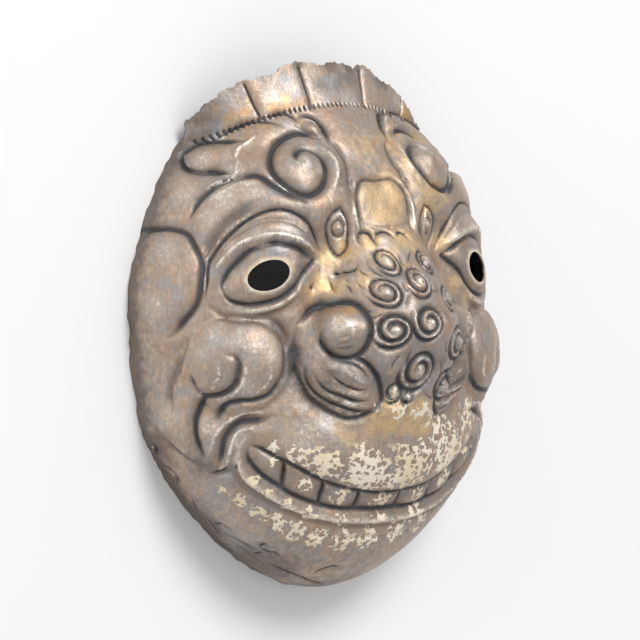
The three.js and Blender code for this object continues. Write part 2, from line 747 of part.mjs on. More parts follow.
// Oval punch, driven through the sheet square to the dome
const EYE_HOLE_X = 61.6;
const EYE_HOLE_Y = 22.1;
const PUNCH_LENGTH = 40;

function eyePunch(wasm, side) {
  const centre = place(side * EYE_HOLE_X, EYE_HOLE_Y);
  const out = domeNormal(centre);
  const base = face(centre.x, centre.y);
  const across = V(out.z, 0, -out.x).normalize();
  const up = V().crossVectors(out, across);
  const punch = new THREE.CylinderGeometry(0.5, 0.5, PUNCH_LENGTH, 28);
  punch.scale(EYE_HOLE_LENGTH, 1, EYE_HOLE_HEIGHT);
  punch.rotateX(Math.PI / 2);
  punch.rotateZ(rad(-side * EYE_HOLE_TILT));
  punch.applyMatrix4(new THREE.Matrix4().makeBasis(across, up, out));
  punch.translate(base.x, base.y, base.z);
  return toSolid(wasm, punch);
}

function toGeometry(solid) {
  const mesh = solid.getMesh();
  const geometry = new THREE.BufferGeometry();
  geometry.setAttribute('position', new THREE.BufferAttribute(new Float32Array(mesh.vertProperties), 3));
  geometry.setIndex(new THREE.BufferAttribute(new Uint32Array(mesh.triVerts), 1));
  return geometry;
}

const wasm = await Module();
wasm.setup();
drawEyes();
drawBrows();
drawForehead();
drawTemples();
drawCheeks();
drawNose();
drawNostrils();
drawMouth();
drawCrown();
drawSwellings();
lines.forEach(enclose);

const solid = shellSolid(wasm).subtract(eyePunch(wasm, 1)).subtract(eyePunch(wasm, -1));
const geometry = toGeometry(solid);
geometry.computeBoundingBox();
const box = geometry.boundingBox;
geometry.translate(-(box.min.x + box.max.x) / 2, -(box.min.y + box.max.y) / 2, -box.min.z);

const silver = new THREE.MeshStandardMaterial({ color: 0x9a8c7b, roughness: 0.42, metalness: 0.85 });
const mask = new THREE.Mesh(geometry, silver);
mask.name = 'mask_shell';
const group = new THREE.Group();
group.name = 'silver_mask';
group.add(mask);
export default group;
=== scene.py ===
# %% [markdown]
# # A hammered silver mask
# The mask is one sheet of silver, raised from behind and then chased from the front.
# This lesson builds it the way a smith does: a plain dome first, then the broad masses of
# the face, then the chased lines, and last the tarnish, the worn edges and the gilding, with
# painted shade and painted highlights laid into the colour.
# The imported part is loaded first. It fixes the size and the place of everything.

# %% Load the imported part
import math
import bpy
import numpy as np
from mathutils import Matrix, Vector
from mathutils.geometry import delaunay_2d_cdt


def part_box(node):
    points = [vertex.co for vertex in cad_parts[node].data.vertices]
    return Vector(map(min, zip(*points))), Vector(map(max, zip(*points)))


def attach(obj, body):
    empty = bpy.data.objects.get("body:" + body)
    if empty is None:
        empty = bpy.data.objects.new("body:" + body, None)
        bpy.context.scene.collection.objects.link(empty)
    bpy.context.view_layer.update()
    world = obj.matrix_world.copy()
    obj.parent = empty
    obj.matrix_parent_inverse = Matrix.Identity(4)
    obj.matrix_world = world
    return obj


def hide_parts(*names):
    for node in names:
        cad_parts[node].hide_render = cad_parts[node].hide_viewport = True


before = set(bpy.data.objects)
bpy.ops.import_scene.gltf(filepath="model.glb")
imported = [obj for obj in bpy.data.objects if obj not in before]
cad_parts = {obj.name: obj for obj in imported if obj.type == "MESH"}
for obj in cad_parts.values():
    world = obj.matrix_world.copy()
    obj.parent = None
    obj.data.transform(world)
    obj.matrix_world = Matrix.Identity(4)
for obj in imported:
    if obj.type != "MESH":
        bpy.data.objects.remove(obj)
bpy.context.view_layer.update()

MM = 0.001

# %% [markdown]
# ## The sizes
# All shaping is done in millimetres and in front view: X to the right, Y up to the crown,
# Z out towards the viewer. The sizes are those of the part.

# %% Sizes
HALF_WIDTH = 108.5
HALF_HEIGHT = 135.0
DOME_DEPTH = 84.0
SHEET = 1.2
JAW_TAPER = 0.34
MUZZLE_RISE = 9.0
ROPE_X, ROPE_Y, ROPE_RADIUS = -5.0, -23.0, 139.0
CROWN_LEAN = math.radians(20)

# %% [markdown]
# ## The dome
# The blank is a deep oval bowl. Every place on the mask is named by its X and Y on this
# bowl, and `dome_normal` tells which way the sheet faces there.

# %% The dome
def ease(t):
    t = np.clip(t, 0, 1)
    return t * t * (3 - 2 * t)


def dome(x, y):
    inside = 1 - (x / HALF_WIDTH) ** 2 - (y / HALF_HEIGHT) ** 2
    return np.stack([x, y, DOME_DEPTH * np.sqrt(np.clip(inside, 0, None))], axis=-1)


def dome_normal(p):
    n = p / np.array([HALF_WIDTH ** 2, HALF_HEIGHT ** 2, DOME_DEPTH ** 2])
    return n / np.linalg.norm(n, axis=-1, keepdims=True)


def tangent(x, y):
    centre = dome(np.float64(x), np.float64(y))
    out = dome_normal(centre)
    across = np.array([out[2], 0, -out[0]])
    across /= np.linalg.norm(across)
    return centre, across, np.cross(out, across), out


def cushion(p, x, y, rx, ry, power, tilt=0.0):
    """A soft hill on the dome: 1 in its middle and 0 at its edge."""
    centre, across, up, out = tangent(x, y)
    d = p - centre
    a, b, c = d @ across, d @ up, d @ out
    cos, sin = math.cos(math.radians(tilt)), math.sin(math.radians(tilt))
    u, v = (cos * a + sin * b) / rx, (cos * b - sin * a) / ry
    hill = np.clip(1 - u * u - v * v, 0, None) ** power
    return np.where(c < -0.8 * max(rx, ry), 0, hill)


# %% [markdown]
# ## The masses of the face
# Brows, cheeks, temples and eyes are pushed out as soft hills, mirrored left and right.
# The nose is too steep for a hill, so it rises straight forward from its own profile.

# %% Masses
# rise, x, y, half width, half height, power, tilt
SIDE_MASSES = [
    (8.0, 52, 69, 50, 32, 1.2, -12),
    (10.0, 81.5, -16, 29, 25, 0.75, 0),
    (4.0, 103, 23, 28, 34, 0.8, 0),
    (5.5, 68.4, 32.4, 33, 24, 0.9, -24),
    (-3.5, 40, 36.5, 13, 30, 1.2, 12),
]
MIDDLE_MASSES = [
    (2.0, 0, 66, 20, 22, 0.8, 0),
    (6.0, 0, -59.5, 58, 30, 1.1, 0),
]
NOSE_HALF = [(-47, 30), (-39, 44), (-28, 54), (-13.5, 57), (4, 50), (20, 38), (35, 29), (59, 20)]
NOSE_PROFILE = [(-48.6, 0), (-43, 7), (-36.5, 15), (-19, 24.5), (4, 33), (27, 24.5), (36.5, 16), (47, 7), (59, 0)]


def eased(pairs, at, reach):
    xs, vs = zip(*pairs)
    return sum((3 - abs(i)) * np.interp(at + i * reach / 2, xs, vs) for i in range(-2, 3)) / 9


def nose(x, y):
    q = np.clip(np.abs(x) / eased(NOSE_HALF, y, 7), 0, 1)
    across = (1 - q ** 4) ** 0.7 * (0.45 + 0.55 * np.cos(q * math.pi / 2))
    return across * eased(NOSE_PROFILE, y, 5.4)


def draw_in(p):
    """The rim draws in towards the chin."""
    low = np.clip((-p[..., 1] / HALF_HEIGHT - 0.3) / 0.7, 0, 1)
    back = np.clip(1 - p[..., 2] / DOME_DEPTH, 0, 1)
    q = p.copy()
    q[..., 0] *= 1 - JAW_TAPER * low ** 2 * back ** 0.7
    return q


def face(x, y):
    p = dome(x, y)
    side = p.copy()
    side[..., 0] = np.abs(side[..., 0])
    rise = MUZZLE_RISE * ease((-y / HALF_HEIGHT - 0.15) * 3) * ease(2 * p[..., 2] / DOME_DEPTH)
    for height, *shape in SIDE_MASSES:
        rise = rise + height * cushion(side, *shape)
    for height, *shape in MIDDLE_MASSES:
        rise = rise + height * cushion(p, *shape)
    q = draw_in(p) + rise[..., None] * dome_normal(p)
    q[..., 2] += nose(x, y)
    return q


# %% [markdown]
# ## The crown band
# Above the forehead the sheet turns outward along a rope line. Its top edge is torn, so
# its length is given by angle around the rope line's centre.

# %% Crown band
CROWN_EDGE = [
    (-30.6, 8), (-28, 13), (-26, 16), (-24, 18), (-22, 20), (-18, 22), (-14, 21), (-11, 21.5), (-9, 24.5),
    (-5, 25), (-2, 22), (0, 23), (3, 23.5), (6, 20.5), (7, 23), (10, 22), (12, 17), (14, 16.5), (18, 13.5),
    (22, 8), (24, 4), (28, 1.5), (41, 1),
]


def rope_point(angle):
    return ROPE_X + ROPE_RADIUS * np.sin(angle), ROPE_Y + ROPE_RADIUS * np.cos(angle)


def rope_end(side):
    angles = side * np.linspace(0, math.pi / 2, 20001)
    x, y = rope_point(angles)
    return angles[np.argmax((x / HALF_WIDTH) ** 2 + (y / HALF_HEIGHT) ** 2 >= 1)]


ROPE_ENDS = rope_end(-1), rope_end(1)


def crown(x, y):
    r, angle = np.hypot(x - ROPE_X, y - ROPE_Y), np.arctan2(x - ROPE_X, y - ROPE_Y)
    on = (r > ROPE_RADIUS) & (angle > ROPE_ENDS[0]) & (angle < ROPE_ENDS[1])
    angle = np.where(on, angle, 0)
    foot = rope_point(angle)
    part = np.clip(1 - dome(x, y)[..., 2] / np.maximum(dome(*foot)[..., 2], 1e-6), 0, 1)
    taper = np.clip(20 * np.minimum(1 - angle / ROPE_ENDS[0], 1 - angle / ROPE_ENDS[1]), 0, 1)
    torn = 0.45 * np.sin(97 * angle) + 0.35 * np.sin(211 * angle + 1) + 0.3 * np.sin(389 * angle + 2)
    reach = (np.interp(np.degrees(angle), *zip(*CROWN_EDGE)) + torn - 0.4) * taper
    return on, foot, angle, part, reach


def form(x, y):
    """The bare form: the face, or the leaning band beyond the rope line."""
    on, foot, angle, part, reach = crown(x, y)
    flat = math.cos(CROWN_LEAN)
    go = np.stack([np.sin(angle) * flat, np.cos(angle) * flat, 0 * angle - math.sin(CROWN_LEAN)], axis=-1)
    band = face(*foot) + (part * reach)[..., None] * go
    return np.where(on[..., None], band, face(x, y))


def unit(v):
    return v / np.maximum(np.linalg.norm(v, axis=-1, keepdims=True), 1e-12)


def facing(x, y):
    """The way the bare form faces, taken over a small patch so that it turns softly."""
    p = dome(x, y)
    n = dome_normal(p)
    a = 2.5 * unit(np.stack([n[..., 2], 0 * x, -n[..., 0]], axis=-1))
    b = np.cross(n, a)
    spots = [face(x + s * v[..., 0], y + s * v[..., 1]) for v in (a, b) for s in (1, -1)]
    m = unit(np.cross(spots[0] - spots[1], spots[2] - spots[3]))
    near_rim = np.clip(1 - p[..., 2] / 12, 0, 1)[..., None]
    m = unit(m * (1 - near_rim) + n * near_rim)
    on, foot, angle, part, reach = crown(x, y)
    s, c = math.sin(CROWN_LEAN), math.cos(CROWN_LEAN)
    flat = np.stack([np.sin(angle) * s, np.cos(angle) * s, 0 * angle + c], axis=-1)
    turn = (0.5 * (1 - np.clip(3 * part, 0, 1)))[..., None]
    flat = unit(flat * (1 - turn) + dome_normal(dome(*foot)) * turn)
    return np.where(on[..., None], flat, m)


# %% [markdown]
# ## Chased lines
# A chased line is a smooth curve through a few places. It has a depth, a width, and ends
# that run out to nothing. A line with a negative depth is a raised ridge.

# %% Lines
LINES = []


def smooth(points, steps=7):
    p = np.array(points, float)
    p = np.vstack([2 * p[0] - p[1], p, 2 * p[-1] - p[-2]])
    t = np.linspace(0, 1, steps, endpoint=False)[:, None]
    parts = []
    for p0, p1, p2, p3 in zip(p, p[1:], p[2:], p[3:]):
        parts.append(p1 + 0.5 * t * (p2 - p0 + t * (2 * p0 - 5 * p1 + 4 * p2 - p3
                                                    + t * (3 * p1 - p0 - 3 * p2 + p3))))
    return np.vstack(parts + [p[-2:-1]])


def add_line(points, depth, width, ends=(1, 1), sides=(1, -1), ink=1.0):
    points = np.asarray(points)
    for side in sides:
        path = form(side * points[:, 0], points[:, 1])
        centre = path.mean(axis=0)
        reach = np.linalg.norm(path - centre, axis=1).max()
        LINES.append({"path": path, "depth": depth, "width": width, "ends": ends,
                      "ink": ink, "centre": centre, "reach": reach})


def chase(depth, width, *curves, ends=(1, 1), sides=(1, -1), ink=1.0):
    for points in curves:
        add_line(smooth(points), depth, width, ends, sides, ink)


def spiral(x, y, outer, inner, start, turns, sides=(1, -1), depth=1.0, width=0.8, squash=1.0):
    centre, across, up, out = tangent(x, y)
    t = np.linspace(0, 1, int(20 * abs(turns)))[:, None]
    r = outer + (inner - outer) * t
    a = math.radians(start) + 2 * math.pi * turns * t
    path = centre + r * np.cos(a) * across + squash * r * np.sin(a) * up
    add_line(path[:, :2], depth, width, (1, 1), sides)


# %% [markdown]
# ### Eyes
# The almond of the eye is cut deep above and softer below. A rolled lid stands over it,
# and two thin folds echo it up to the brow.

# %% Eyes
EYE = (66.8, 29.8)
EYE_HOLE = (11.0, 7.4)
EYE_TILT = 21


def draw_eyes():
    chase(2.1, 1.3, [(43, 38), (52, 43), (61, 45.5), (68, 44.5), (75, 41), (82, 34), (86, 26), (86, 21)])
    chase(1.9, 1.2, [(86, 23), (84, 17.5), (78, 15), (71, 15.5), (63, 18), (56, 23.5), (50, 31), (43, 38)],
          ends=(1, 0))
    chase(-1.6, 2.0, [(87, 34), (83, 39), (77, 45), (69, 48.5), (60, 49.5), (50, 46.5), (41, 41)], ink=1.3)
    chase(1.5, 0.8, [(92, 19), (91, 25), (90, 33), (88, 40), (83, 47), (77, 53), (71, 57.5), (64, 61), (57, 62),
                     (51, 60), (46, 56), (42, 50), (39, 42)])
    chase(1.5, 2.2, [(91, 36), (89, 42), (85, 49.5), (80, 56), (72, 62), (65, 66.5)], ink=0.45)
    chase(0.6, 0.8, [(85, 42), (79, 49), (71, 54), (63, 57), (56, 56.5), (49, 53), (44, 47)], ink=0.5)
    chase(0.9, 2.0, [(91, 14), (86, 9), (78, 8), (70, 9), (62, 12), (54, 18)], ink=0.35)
    chase(-0.9, 2.0, [(84, 12.5), (78, 11.5), (70, 12.5), (61, 16), (53, 23)], ink=0.5)


# %% [markdown]
# ### Brows and forehead
# Each brow ends in a snail scroll. Leaves and flames lick up from it to the rope line.

# %% Brows and forehead
def draw_brows():
    chase(2.4, 1.6, [(25, 100), (33, 103), (41, 101), (49, 96), (54, 88), (55, 80), (50, 72), (43, 69),
                     (35, 73), (30, 81), (29, 89), (34, 93.5), (40, 92), (43, 87), (41.5, 83.5)])
    chase(-1.3, 2.0, [(25, 95), (23, 88), (24, 81), (28, 74)])
    chase(1.4, 1.4, [(19.5, 100), (16, 94), (15, 87), (17, 80), (17, 73)], ink=0.6)
    chase(2.2, 1.7, [(91, 59), (86, 68), (80, 74), (73, 78.5), (65, 80), (61, 79), (57, 74), (51, 69.5), (45, 66.5)])
    chase(-0.9, 1.8, [(83, 67), (77, 71), (70, 75), (64, 76)])
    chase(2.2, 1.4, [(70, 82.3), (75.7, 83.1), (79.7, 83), (82.1, 83.8), (82.4, 85.8), (80.8, 89.3), (78.8, 92.2),
                     (76.5, 94.7), (73.1, 97.5), (70.1, 98.5), (65.5, 98.7), (59.4, 99)], ends=(1, 1))
    chase(-0.9, 0.9, [(54, 101), (57.3, 98.8), (60.7, 96.3), (63.9, 94.3), (66, 90.3), (66.6, 86)],
          [(66, 88.5), (68, 85), (70, 81), (73, 79), (77, 77.5), (82, 74)], ink=1.7)
    chase(1.2, 0.9, [(68, 100), (62, 103.5), (57, 106), (53, 107.5), (48, 108.5), (44, 108), (40, 106)],
          [(45, 110), (39, 112), (35, 112), (32.5, 110.5), (31.5, 107.5)])
    chase(2.1, 1.3, [(30, 110.5), (27, 111.5), (23.5, 111), (21, 108.5), (19.5, 105), (19.5, 101), (20, 97)])
    chase(1.0, 0.9, [(33, 107), (31, 105), (28, 102.5), (24.5, 100)], ink=0.6)
    chase(-0.8, 1.0, [(28.5, 109.3), (25, 108.8), (22.6, 106)], ink=1.3)


def draw_forehead():
    chase(1.4, 1.2, [(15.5, 52), (16.5, 60), (16, 68), (13.5, 74), (8.5, 78), (0, 78)], ends=(1, 0), ink=0.7)
    chase(-1.2, 1.4, [(18.5, 50), (19, 58), (18.5, 66)])
    chase(0.6, 1.0, [(14, 55), (7, 53.5), (0, 53.5)], ends=(1, 0), ink=0.4)
    chase(1.3, 0.9, [(27, 63), (32, 60), (35.5, 54), (34.5, 47), (31, 40.5), (27, 43), (24, 50), (24, 57), (27, 63)],
          ends=(0, 0), ink=0.8)
    chase(-1.2, 1.1, [(27, 60), (25.8, 54), (26.5, 48)])
    chase(0.8, 0.7, [(32.5, 55), (29, 57), (26.6, 54), (27.5, 50), (31, 49.5), (32.8, 52.5), (32.5, 55)], ends=(0, 0))
    chase(0.9, 0.9, [(16, 79), (19, 75), (18, 71)], ink=0.6)


# %% [markdown]
# ### Temples and cheeks
# A smooth lobe stands at each temple. The cheek is a ball with a curled lock chased into
# it, and three strands sweep down from it to the corner of the mouth.

# %% Temples and cheeks
def draw_cheeks():
    chase(1.9, 1.6, [(104, 44), (102, 49.5), (99, 53.5), (96, 54), (93, 52), (92, 46), (91, 37), (92.5, 28), (94, 18), (96, 12),
                     (99, 6), (102, -2)], ink=0.85)
    chase(1.9, 2.0, [(72, 8.5), (66, 6.5), (62, 1.5), (60, -5), (59.5, -13), (60, -21), (63, -27)], ends=(1, 0), ink=0.45)
    chase(2.1, 1.8, [(60, -21), (63, -27), (67, -31.5), (73, -33.5), (78, -33.5), (83, -36), (86, -45)], ink=0.9)
    chase(2.2, 1.5, [(84, -10), (81.5, -10.5), (80, -14), (80, -19), (81, -25), (84, -29), (88, -31), (91, -32)],
          ends=(1, 0))
    chase(-0.8, 1.4, [(77.5, -13), (77.3, -19), (78.5, -25), (81, -30)], ink=1.6)
    chase(-0.3, 1.0, [(87, -15), (86.5, -21), (88.5, -27)], [(68, -14), (67, -20), (69.5, -26), (74, -30.5)], ink=1.5)
    chase(1.7, 1.2, [(96, -20), (94, -27), (91, -32)], ends=(1, 0))
    chase(2.2, 1.6, [(91, -32), (92, -41), (91, -48), (88.5, -55), (85, -62)], ends=(0, 1))
    chase(2.0, 1.5, [(64, -41.5), (71, -43), (77, -44), (80, -48), (81, -53), (80.5, -59), (80, -67)], ink=0.85)
    chase(-1.2, 1.3, [(68, -39.5), (76, -40), (81, -44), (84, -50), (84, -58)],
          [(72, -47), (76.5, -48.5), (77.8, -54), (77.5, -64)], ink=1.6)
    chase(1.2, 1.7, [(98, -4), (99.5, -13), (100.5, -20), (101, -29), (98.5, -42)], ink=0.4)
    chase(1.3, 1.7, [(98, -53), (93, -59.5), (84, -68)], ink=0.5)
    chase(1.0, 1.2, [(82, -70), (78, -69), (74, -66.5)], ink=0.6)


# %% [markdown]
# ### Nose
# The nose carries tight curls, wound in two or three turns round a bright boss. The
# nostril is a ball in a deep scroll, and ribs run down the wing below it.

# %% Nose
# x, y, outer radius, turns, start angle, winding
CURLS = [
    (-0.5, 27.5, 9.3, 2.2, 200, 1), (-0.5, 6, 11.0, 2.2, 150, 1), (-1.5, -19.5, 11.6, 2.2, 170, 1),
    (-12, 38, 7.6, 2.0, 200, 1), (14, 37, 7.0, 2.2, 40, -1),
    (-20, 22.5, 8.6, 2.1, 190, 1), (21, 18.5, 8.0, 2.1, 20, -1),
    (-20.5, 2.5, 10.4, 2.2, 200, 1), (26.5, -5, 10.6, 2.2, 20, -1),
    (-12.5, -31, 5.2, 1.5, 200, 1), (-3.5, -32.5, 3.6, 1.2, 20, -1), (23, -29, 8.2, 1.8, 60, 1),
]
# Short cuts between the curls and the fine hair above them
HAIRS = [
    [(-20, 45), (-20, 49), (-17, 52), (-14, 51.5), (-13, 49), (-12, 45)],
    [(-12, 48), (-10, 51), (-6, 52), (-3, 51), (0, 48)], [(1, 49), (4, 51.5), (8, 50), (11, 47)],
    [(-30, 30), (-31.5, 26), (-32, 20)], [(-37, 29), (-36, 25), (-36, 21)],
    [(-28, 30), (-28.5, 26.5), (-27, 23)], [(-25, 35), (-25, 32), (-23, 30)],
    [(-21, 39), (-21, 34), (-19, 31), (-15, 29)], [(-14, 14), (-11, 19), (-8, 22)],
    [(-30, 11), (-28.5, 9.5), (-26, 10.5), (-24, 13)], [(-32, 15), (-30, 13), (-27, 12)],
    [(-3, 42), (-4, 38), (-3, 36), (-1, 36)], [(8, 44), (8, 39), (9, 35), (12, 32)], [(-2, 36), (3, 40), (8, 43)],
    [(6, 25), (9, 22), (12, 22)], [(-4, 22), (-4, 18)], [(-11, 28), (-11, 24), (-8, 22)],
    [(-10, -7), (-11, -12), (-10.5, -18)], [(11, -3), (13, -8), (17, -12)], [(9, 13), (13, 9), (16, 2)],
    [(10, -14), (14, -18), (17, -25)], [(29, 8), (31, 13), (29, 20)], [(-31, 6), (-31, 0), (-33, -5)],
    [(5, -29), (10, -33), (16, -34)], [(19, 40), (21, 34), (24, 29)], [(-15, -10), (-18, -14), (-19, -19)],
]

# Thin cracks beside the nose, under the jaw and at the torn lower edge
CRACKS = [
    [(-33, 31), (-29.5, 32), (-27, 33), (-26, 34), (-24, 36)], [(-34, 30.5), (-32, 31.3)],
    [(-46.5, 25), (-46, 23.6)], [(-46.6, 23.8), (-45.4, 23.4)], [(-74, -64), (-74, -67)],
    [(-82, -69), (-80, -68.5), (-78, -67.5), (-76.5, -65)], [(-73, -97), (-71.5, -98), (-69, -97)],
    [(-70, -97), (-68, -98.5), (-65, -100)], [(-52, -107), (-48, -109), (-45, -109.5), (-42, -111)],
    [(-52, -112), (-49.5, -110)], [(-53, -106.5), (-51, -104.5)], [(-20, -120), (-14, -117), (-8, -116)],
]
TORN_EDGE = [
    [(-98, -57), (-95.5, -64)], [(-93, -69), (-89.5, -74), (-87.5, -79)], [(-85.5, -81), (-81.5, -87), (-78.5, -92)],
    [(-75, -95), (-69.5, -102), (-63, -108)], [(-60, -108), (-52, -114), (-44, -118)],
    [(-44, -116), (-34, -120), (-22, -124)], [(-66, -103), (-58, -107), (-51, -110)], [(-30, -121), (-18, -125), (-6, -127)],
]


def draw_nose():
    for x, y, radius, turns, start, wind in CURLS:
        bold = ease((20 - y) / 14)
        spiral(x, y, radius * (1 + 0.06 * bold), 2.0, start, wind * turns, (1,), 1.4 + 0.6 * bold, 0.85 + 0.5 * bold)
    chase(1.3, 0.8, *HAIRS[:3], sides=(1,), ink=1.15)
    chase(0.7, 0.6, *HAIRS[3:], sides=(1,), ink=1.1)
    chase(1.3, 0.5, *CRACKS, sides=(1,), ink=1.4)
    chase(1.3, 1.0, *TORN_EDGE, sides=(1,), ink=0.9)


def draw_nostrils():
    chase(2.3, 1.6, [(54, 5), (48, 12), (42, 15.5), (36, 17.5), (32, 15.5), (30.5, 9), (31, 1), (32, -5), (34, -9.5),
                     (36.5, -12)], ends=(1, 0))
    chase(2.3, 1.3, [(46, 2), (48, -2), (47.5, -6), (45, -10.5), (41, -12.5), (36.5, -12)], ends=(1, 0))
    chase(1.2, 0.9, [(46, -9), (41, -14), (36, -16), (31, -20), (27, -25)], sides=(-1,), ink=0.8)
    chase(1.9, 1.5, [(55, 2), (56.5, -6), (56.5, -14), (55, -22), (51, -30), (46, -35.5), (39, -40), (31, -43),
                     (24, -42.5)], ends=(1, 0), ink=0.7)
    chase(2.2, 1.5, [(36.5, -12), (31, -15.5), (25, -21.5), (20.5, -28), (18, -34), (19.5, -39), (24, -42)], ends=(0, 0))
    for side, strength in ((-1, 1.0), (1, 0.55)):
        chase(1.2 * strength, 0.8, [(45, -18), (41, -23), (36, -27), (31, -29), (25.5, -28.5)], sides=(side,))
        chase(1.5 * strength, 0.9, [(50, -20), (45, -27), (38, -31.5), (31, -34.5), (23.5, -34)], sides=(side,))
        chase(1.6 * strength, 0.9, [(54, -16), (52, -24), (47.5, -30), (41, -35), (34, -38), (27, -39.8), (21, -38.5)],
              sides=(side,))
        chase(-0.8 * strength, 1.1, [(39, -19), (33, -22.5), (28.5, -26)],
              [(42, -26), (36, -29.8), (30, -31.6), (25.5, -31.5)],
              [(44, -30), (37, -34.2), (31, -36.6), (24, -36.8)], sides=(side,))
    chase(0.6, 0.7, [(43.5, -6.5), (40, -7), (36.5, -5)], [(43, -3.8), (40, -4), (37, -2)],
          [(42, -1), (40, -1), (38, 0.5)])
    # Short bright strokes on the nostril ball: scratches, with a painted highlight.
    chase(-0.4, 0.9, [(41, 1), (38, 4), (38.5, 8)], [(37, -1), (36.5, 3), (37, 6)], [(42, 4), (41, 8)], ink=1.9)


# %% [markdown]
# ### Mouth
# The upper and lower lip lines meet in the corner. Between them lies the row of teeth,
# each a small pillow, and the gaps between them are cut last.

# %% Mouth
UPPER_LIP = [(72, -54.5), (67, -56.5), (58, -62), (49, -67), (37, -73), (26, -76.5), (14, -79), (0, -80)]
LOWER_LIP = [(72, -55.5), (70.5, -62), (66, -68), (58, -74.5), (48, -80.5), (34, -86), (18, -88.5), (0, -89)]
TOOTH_GAPS = [-69, -55, -35, -14.5, 12, 35, 53, 69]


def draw_mouth():
    chase(2.1, 1.5, UPPER_LIP, ends=(1, 0), ink=0.85)
    chase(2.1, 1.5, LOWER_LIP, ends=(1, 0), ink=0.85)
    chase(-1.3, 2.0, [(75, -55), (74, -62), (69.5, -71), (60, -78.5), (50, -84.5), (36, -90), (18, -92.8), (0, -93.5)],
          ends=(1, 0))
    chase(1.2, 2.4, [(77, -60), (74.5, -68), (67, -77), (55, -85), (40, -92), (20, -96.5), (0, -97.5)], ends=(1, 0),
          ink=0.35)
    chase(0.7, 1.3, [(38, -98.5), (26, -101), (14, -102), (0, -102)], ends=(1, 0), ink=0.35)
    for x in TOOTH_GAPS[1:-1]:
        top, foot = (np.interp(abs(x), *zip(*reversed(lip))) for lip in (UPPER_LIP, LOWER_LIP))
        chase(1.7, 1.1, [(x - 0.8, top), (x + 0.4, (top + foot) / 2), (x + 1.0, foot)], ends=(0, 0), sides=(1,), ink=0.8)


def mouth_rise(x, y):
    """The teeth lie behind the lips, and each one swells."""
    top, foot = (np.interp(np.abs(x), *zip(*reversed(lip))) for lip in (UPPER_LIP, LOWER_LIP))
    v = np.clip((top - y) / (top - foot), 0, 1)
    inside = np.where(np.abs(x) < 71, 4 * v * (1 - v), 0)
    gap = np.array(TOOTH_GAPS)
    i = np.clip(np.searchsorted(gap, x) - 1, 0, len(gap) - 2)
    u = np.clip((x - gap[i]) / (gap[i + 1] - gap[i]), 0, 1)
    near_corner = ease((71 - np.abs(x)) / 5)
    return near_corner * (2.2 * (inside * 4 * u * (1 - u)) ** 0.6 - 2.4 * np.sqrt(inside))


# %% [markdown]
# ### Crown lines
# Four straight lines divide the crown band, and the rope line is a low cord with an upright
# tick every few millimetres.

# %% Crown lines
TICK_STEP = 2.75
ROPE_FADE = math.radians(-31)
CROWN_LINES = [-17.5, -6.2, 7.6, 19.5]


def draw_crown():
    for degrees in CROWN_LINES:
        angle = math.radians(degrees)
        x, y = rope_point(angle)
        step = np.linspace(0.3, 22, 60)
        points = np.stack([x + step * math.sin(angle), y + step * math.cos(angle)], axis=-1)
        points = points[(points[:, 0] / HALF_WIDTH) ** 2 + (points[:, 1] / HALF_HEIGHT) ** 2 < 0.9995]
        add_line(points, 1.0, 0.6, (0, 0), (1,), 1.3)


def ticks(x, y):
    """Upright ticks along the rope line, from 0 to 1, and how near the line is."""
    r, angle = np.hypot(x - ROPE_X, y - ROPE_Y), np.arctan2(x - ROPE_X, y - ROPE_Y)
    off = r - ROPE_RADIUS
    beyond = crown(x, y)
    off = np.where(beyond[0], beyond[3] * beyond[4], off * 1.1)
    on = (angle > ROPE_ENDS[0] - 0.04) & (angle < ROPE_ENDS[1] + 0.04)
    near = np.where(on, np.exp(-(off / 1.15) ** 4), 0) * ease((angle - ROPE_FADE) / 0.04)
    along = (ROPE_RADIUS * angle + np.tan(angle) * off) / TICK_STEP
    return near * (0.5 + 0.5 * np.cos(2 * math.pi * along)) ** 2, near


# %% [markdown]
# ## Putting the relief together
# A groove never adds to its neighbour: where two cross, the deeper one wins. Round every
# groove the sheet sinks a little, which gives the soft, pillowy look of work raised from
# behind.

# %% Relief
PILLOW_WIDTH = 4.6
PILLOW_DEPTH = 1.5
# rise, x, y, radius
SWELLINGS = [
    (5.0, 42, 3, 13), (3.5, 45, -24, 14), (1.6, 39.5, 84.5, 6), (1.4, 29.5, 53, 3.6), (2.5, 42, 86, 15),
    (2.0, 73, 90, 11), (1.5, 26, 105, 6),
]


def nearest(p, line):
    """Distance from each point to a line, and how far along the line it is."""
    best = np.full(len(p), np.inf)
    where = np.zeros(len(p))
    path = line["path"]
    run = np.concatenate([[0], np.cumsum(np.linalg.norm(np.diff(path, axis=0), axis=1))])
    for i in range(1, len(path)):
        e = path[i] - path[i - 1]
        d = p - path[i - 1]
        t = np.clip(d @ e / max(e @ e, 1e-9), 0, 1)
        gap = ((d - t[:, None] * e) ** 2).sum(axis=1)
        closer = gap < best
        best[closer] = gap[closer]
        where[closer] = run[i - 1] + t[closer] * (run[i] - run[i - 1])
    return np.sqrt(best), where, run[-1]


def fade(line, where, length):
    """Lines run out thin at their open ends."""
    run = min(9.0, 0.3 * length)
    k = np.ones(len(where))
    if line["ends"][0]:
        k = np.minimum(k, 0.25 + 0.75 * where / run)
    if line["ends"][1]:
        k = np.minimum(k, 0.25 + 0.75 * (length - where) / run)
    return np.clip(k, 0, 1)


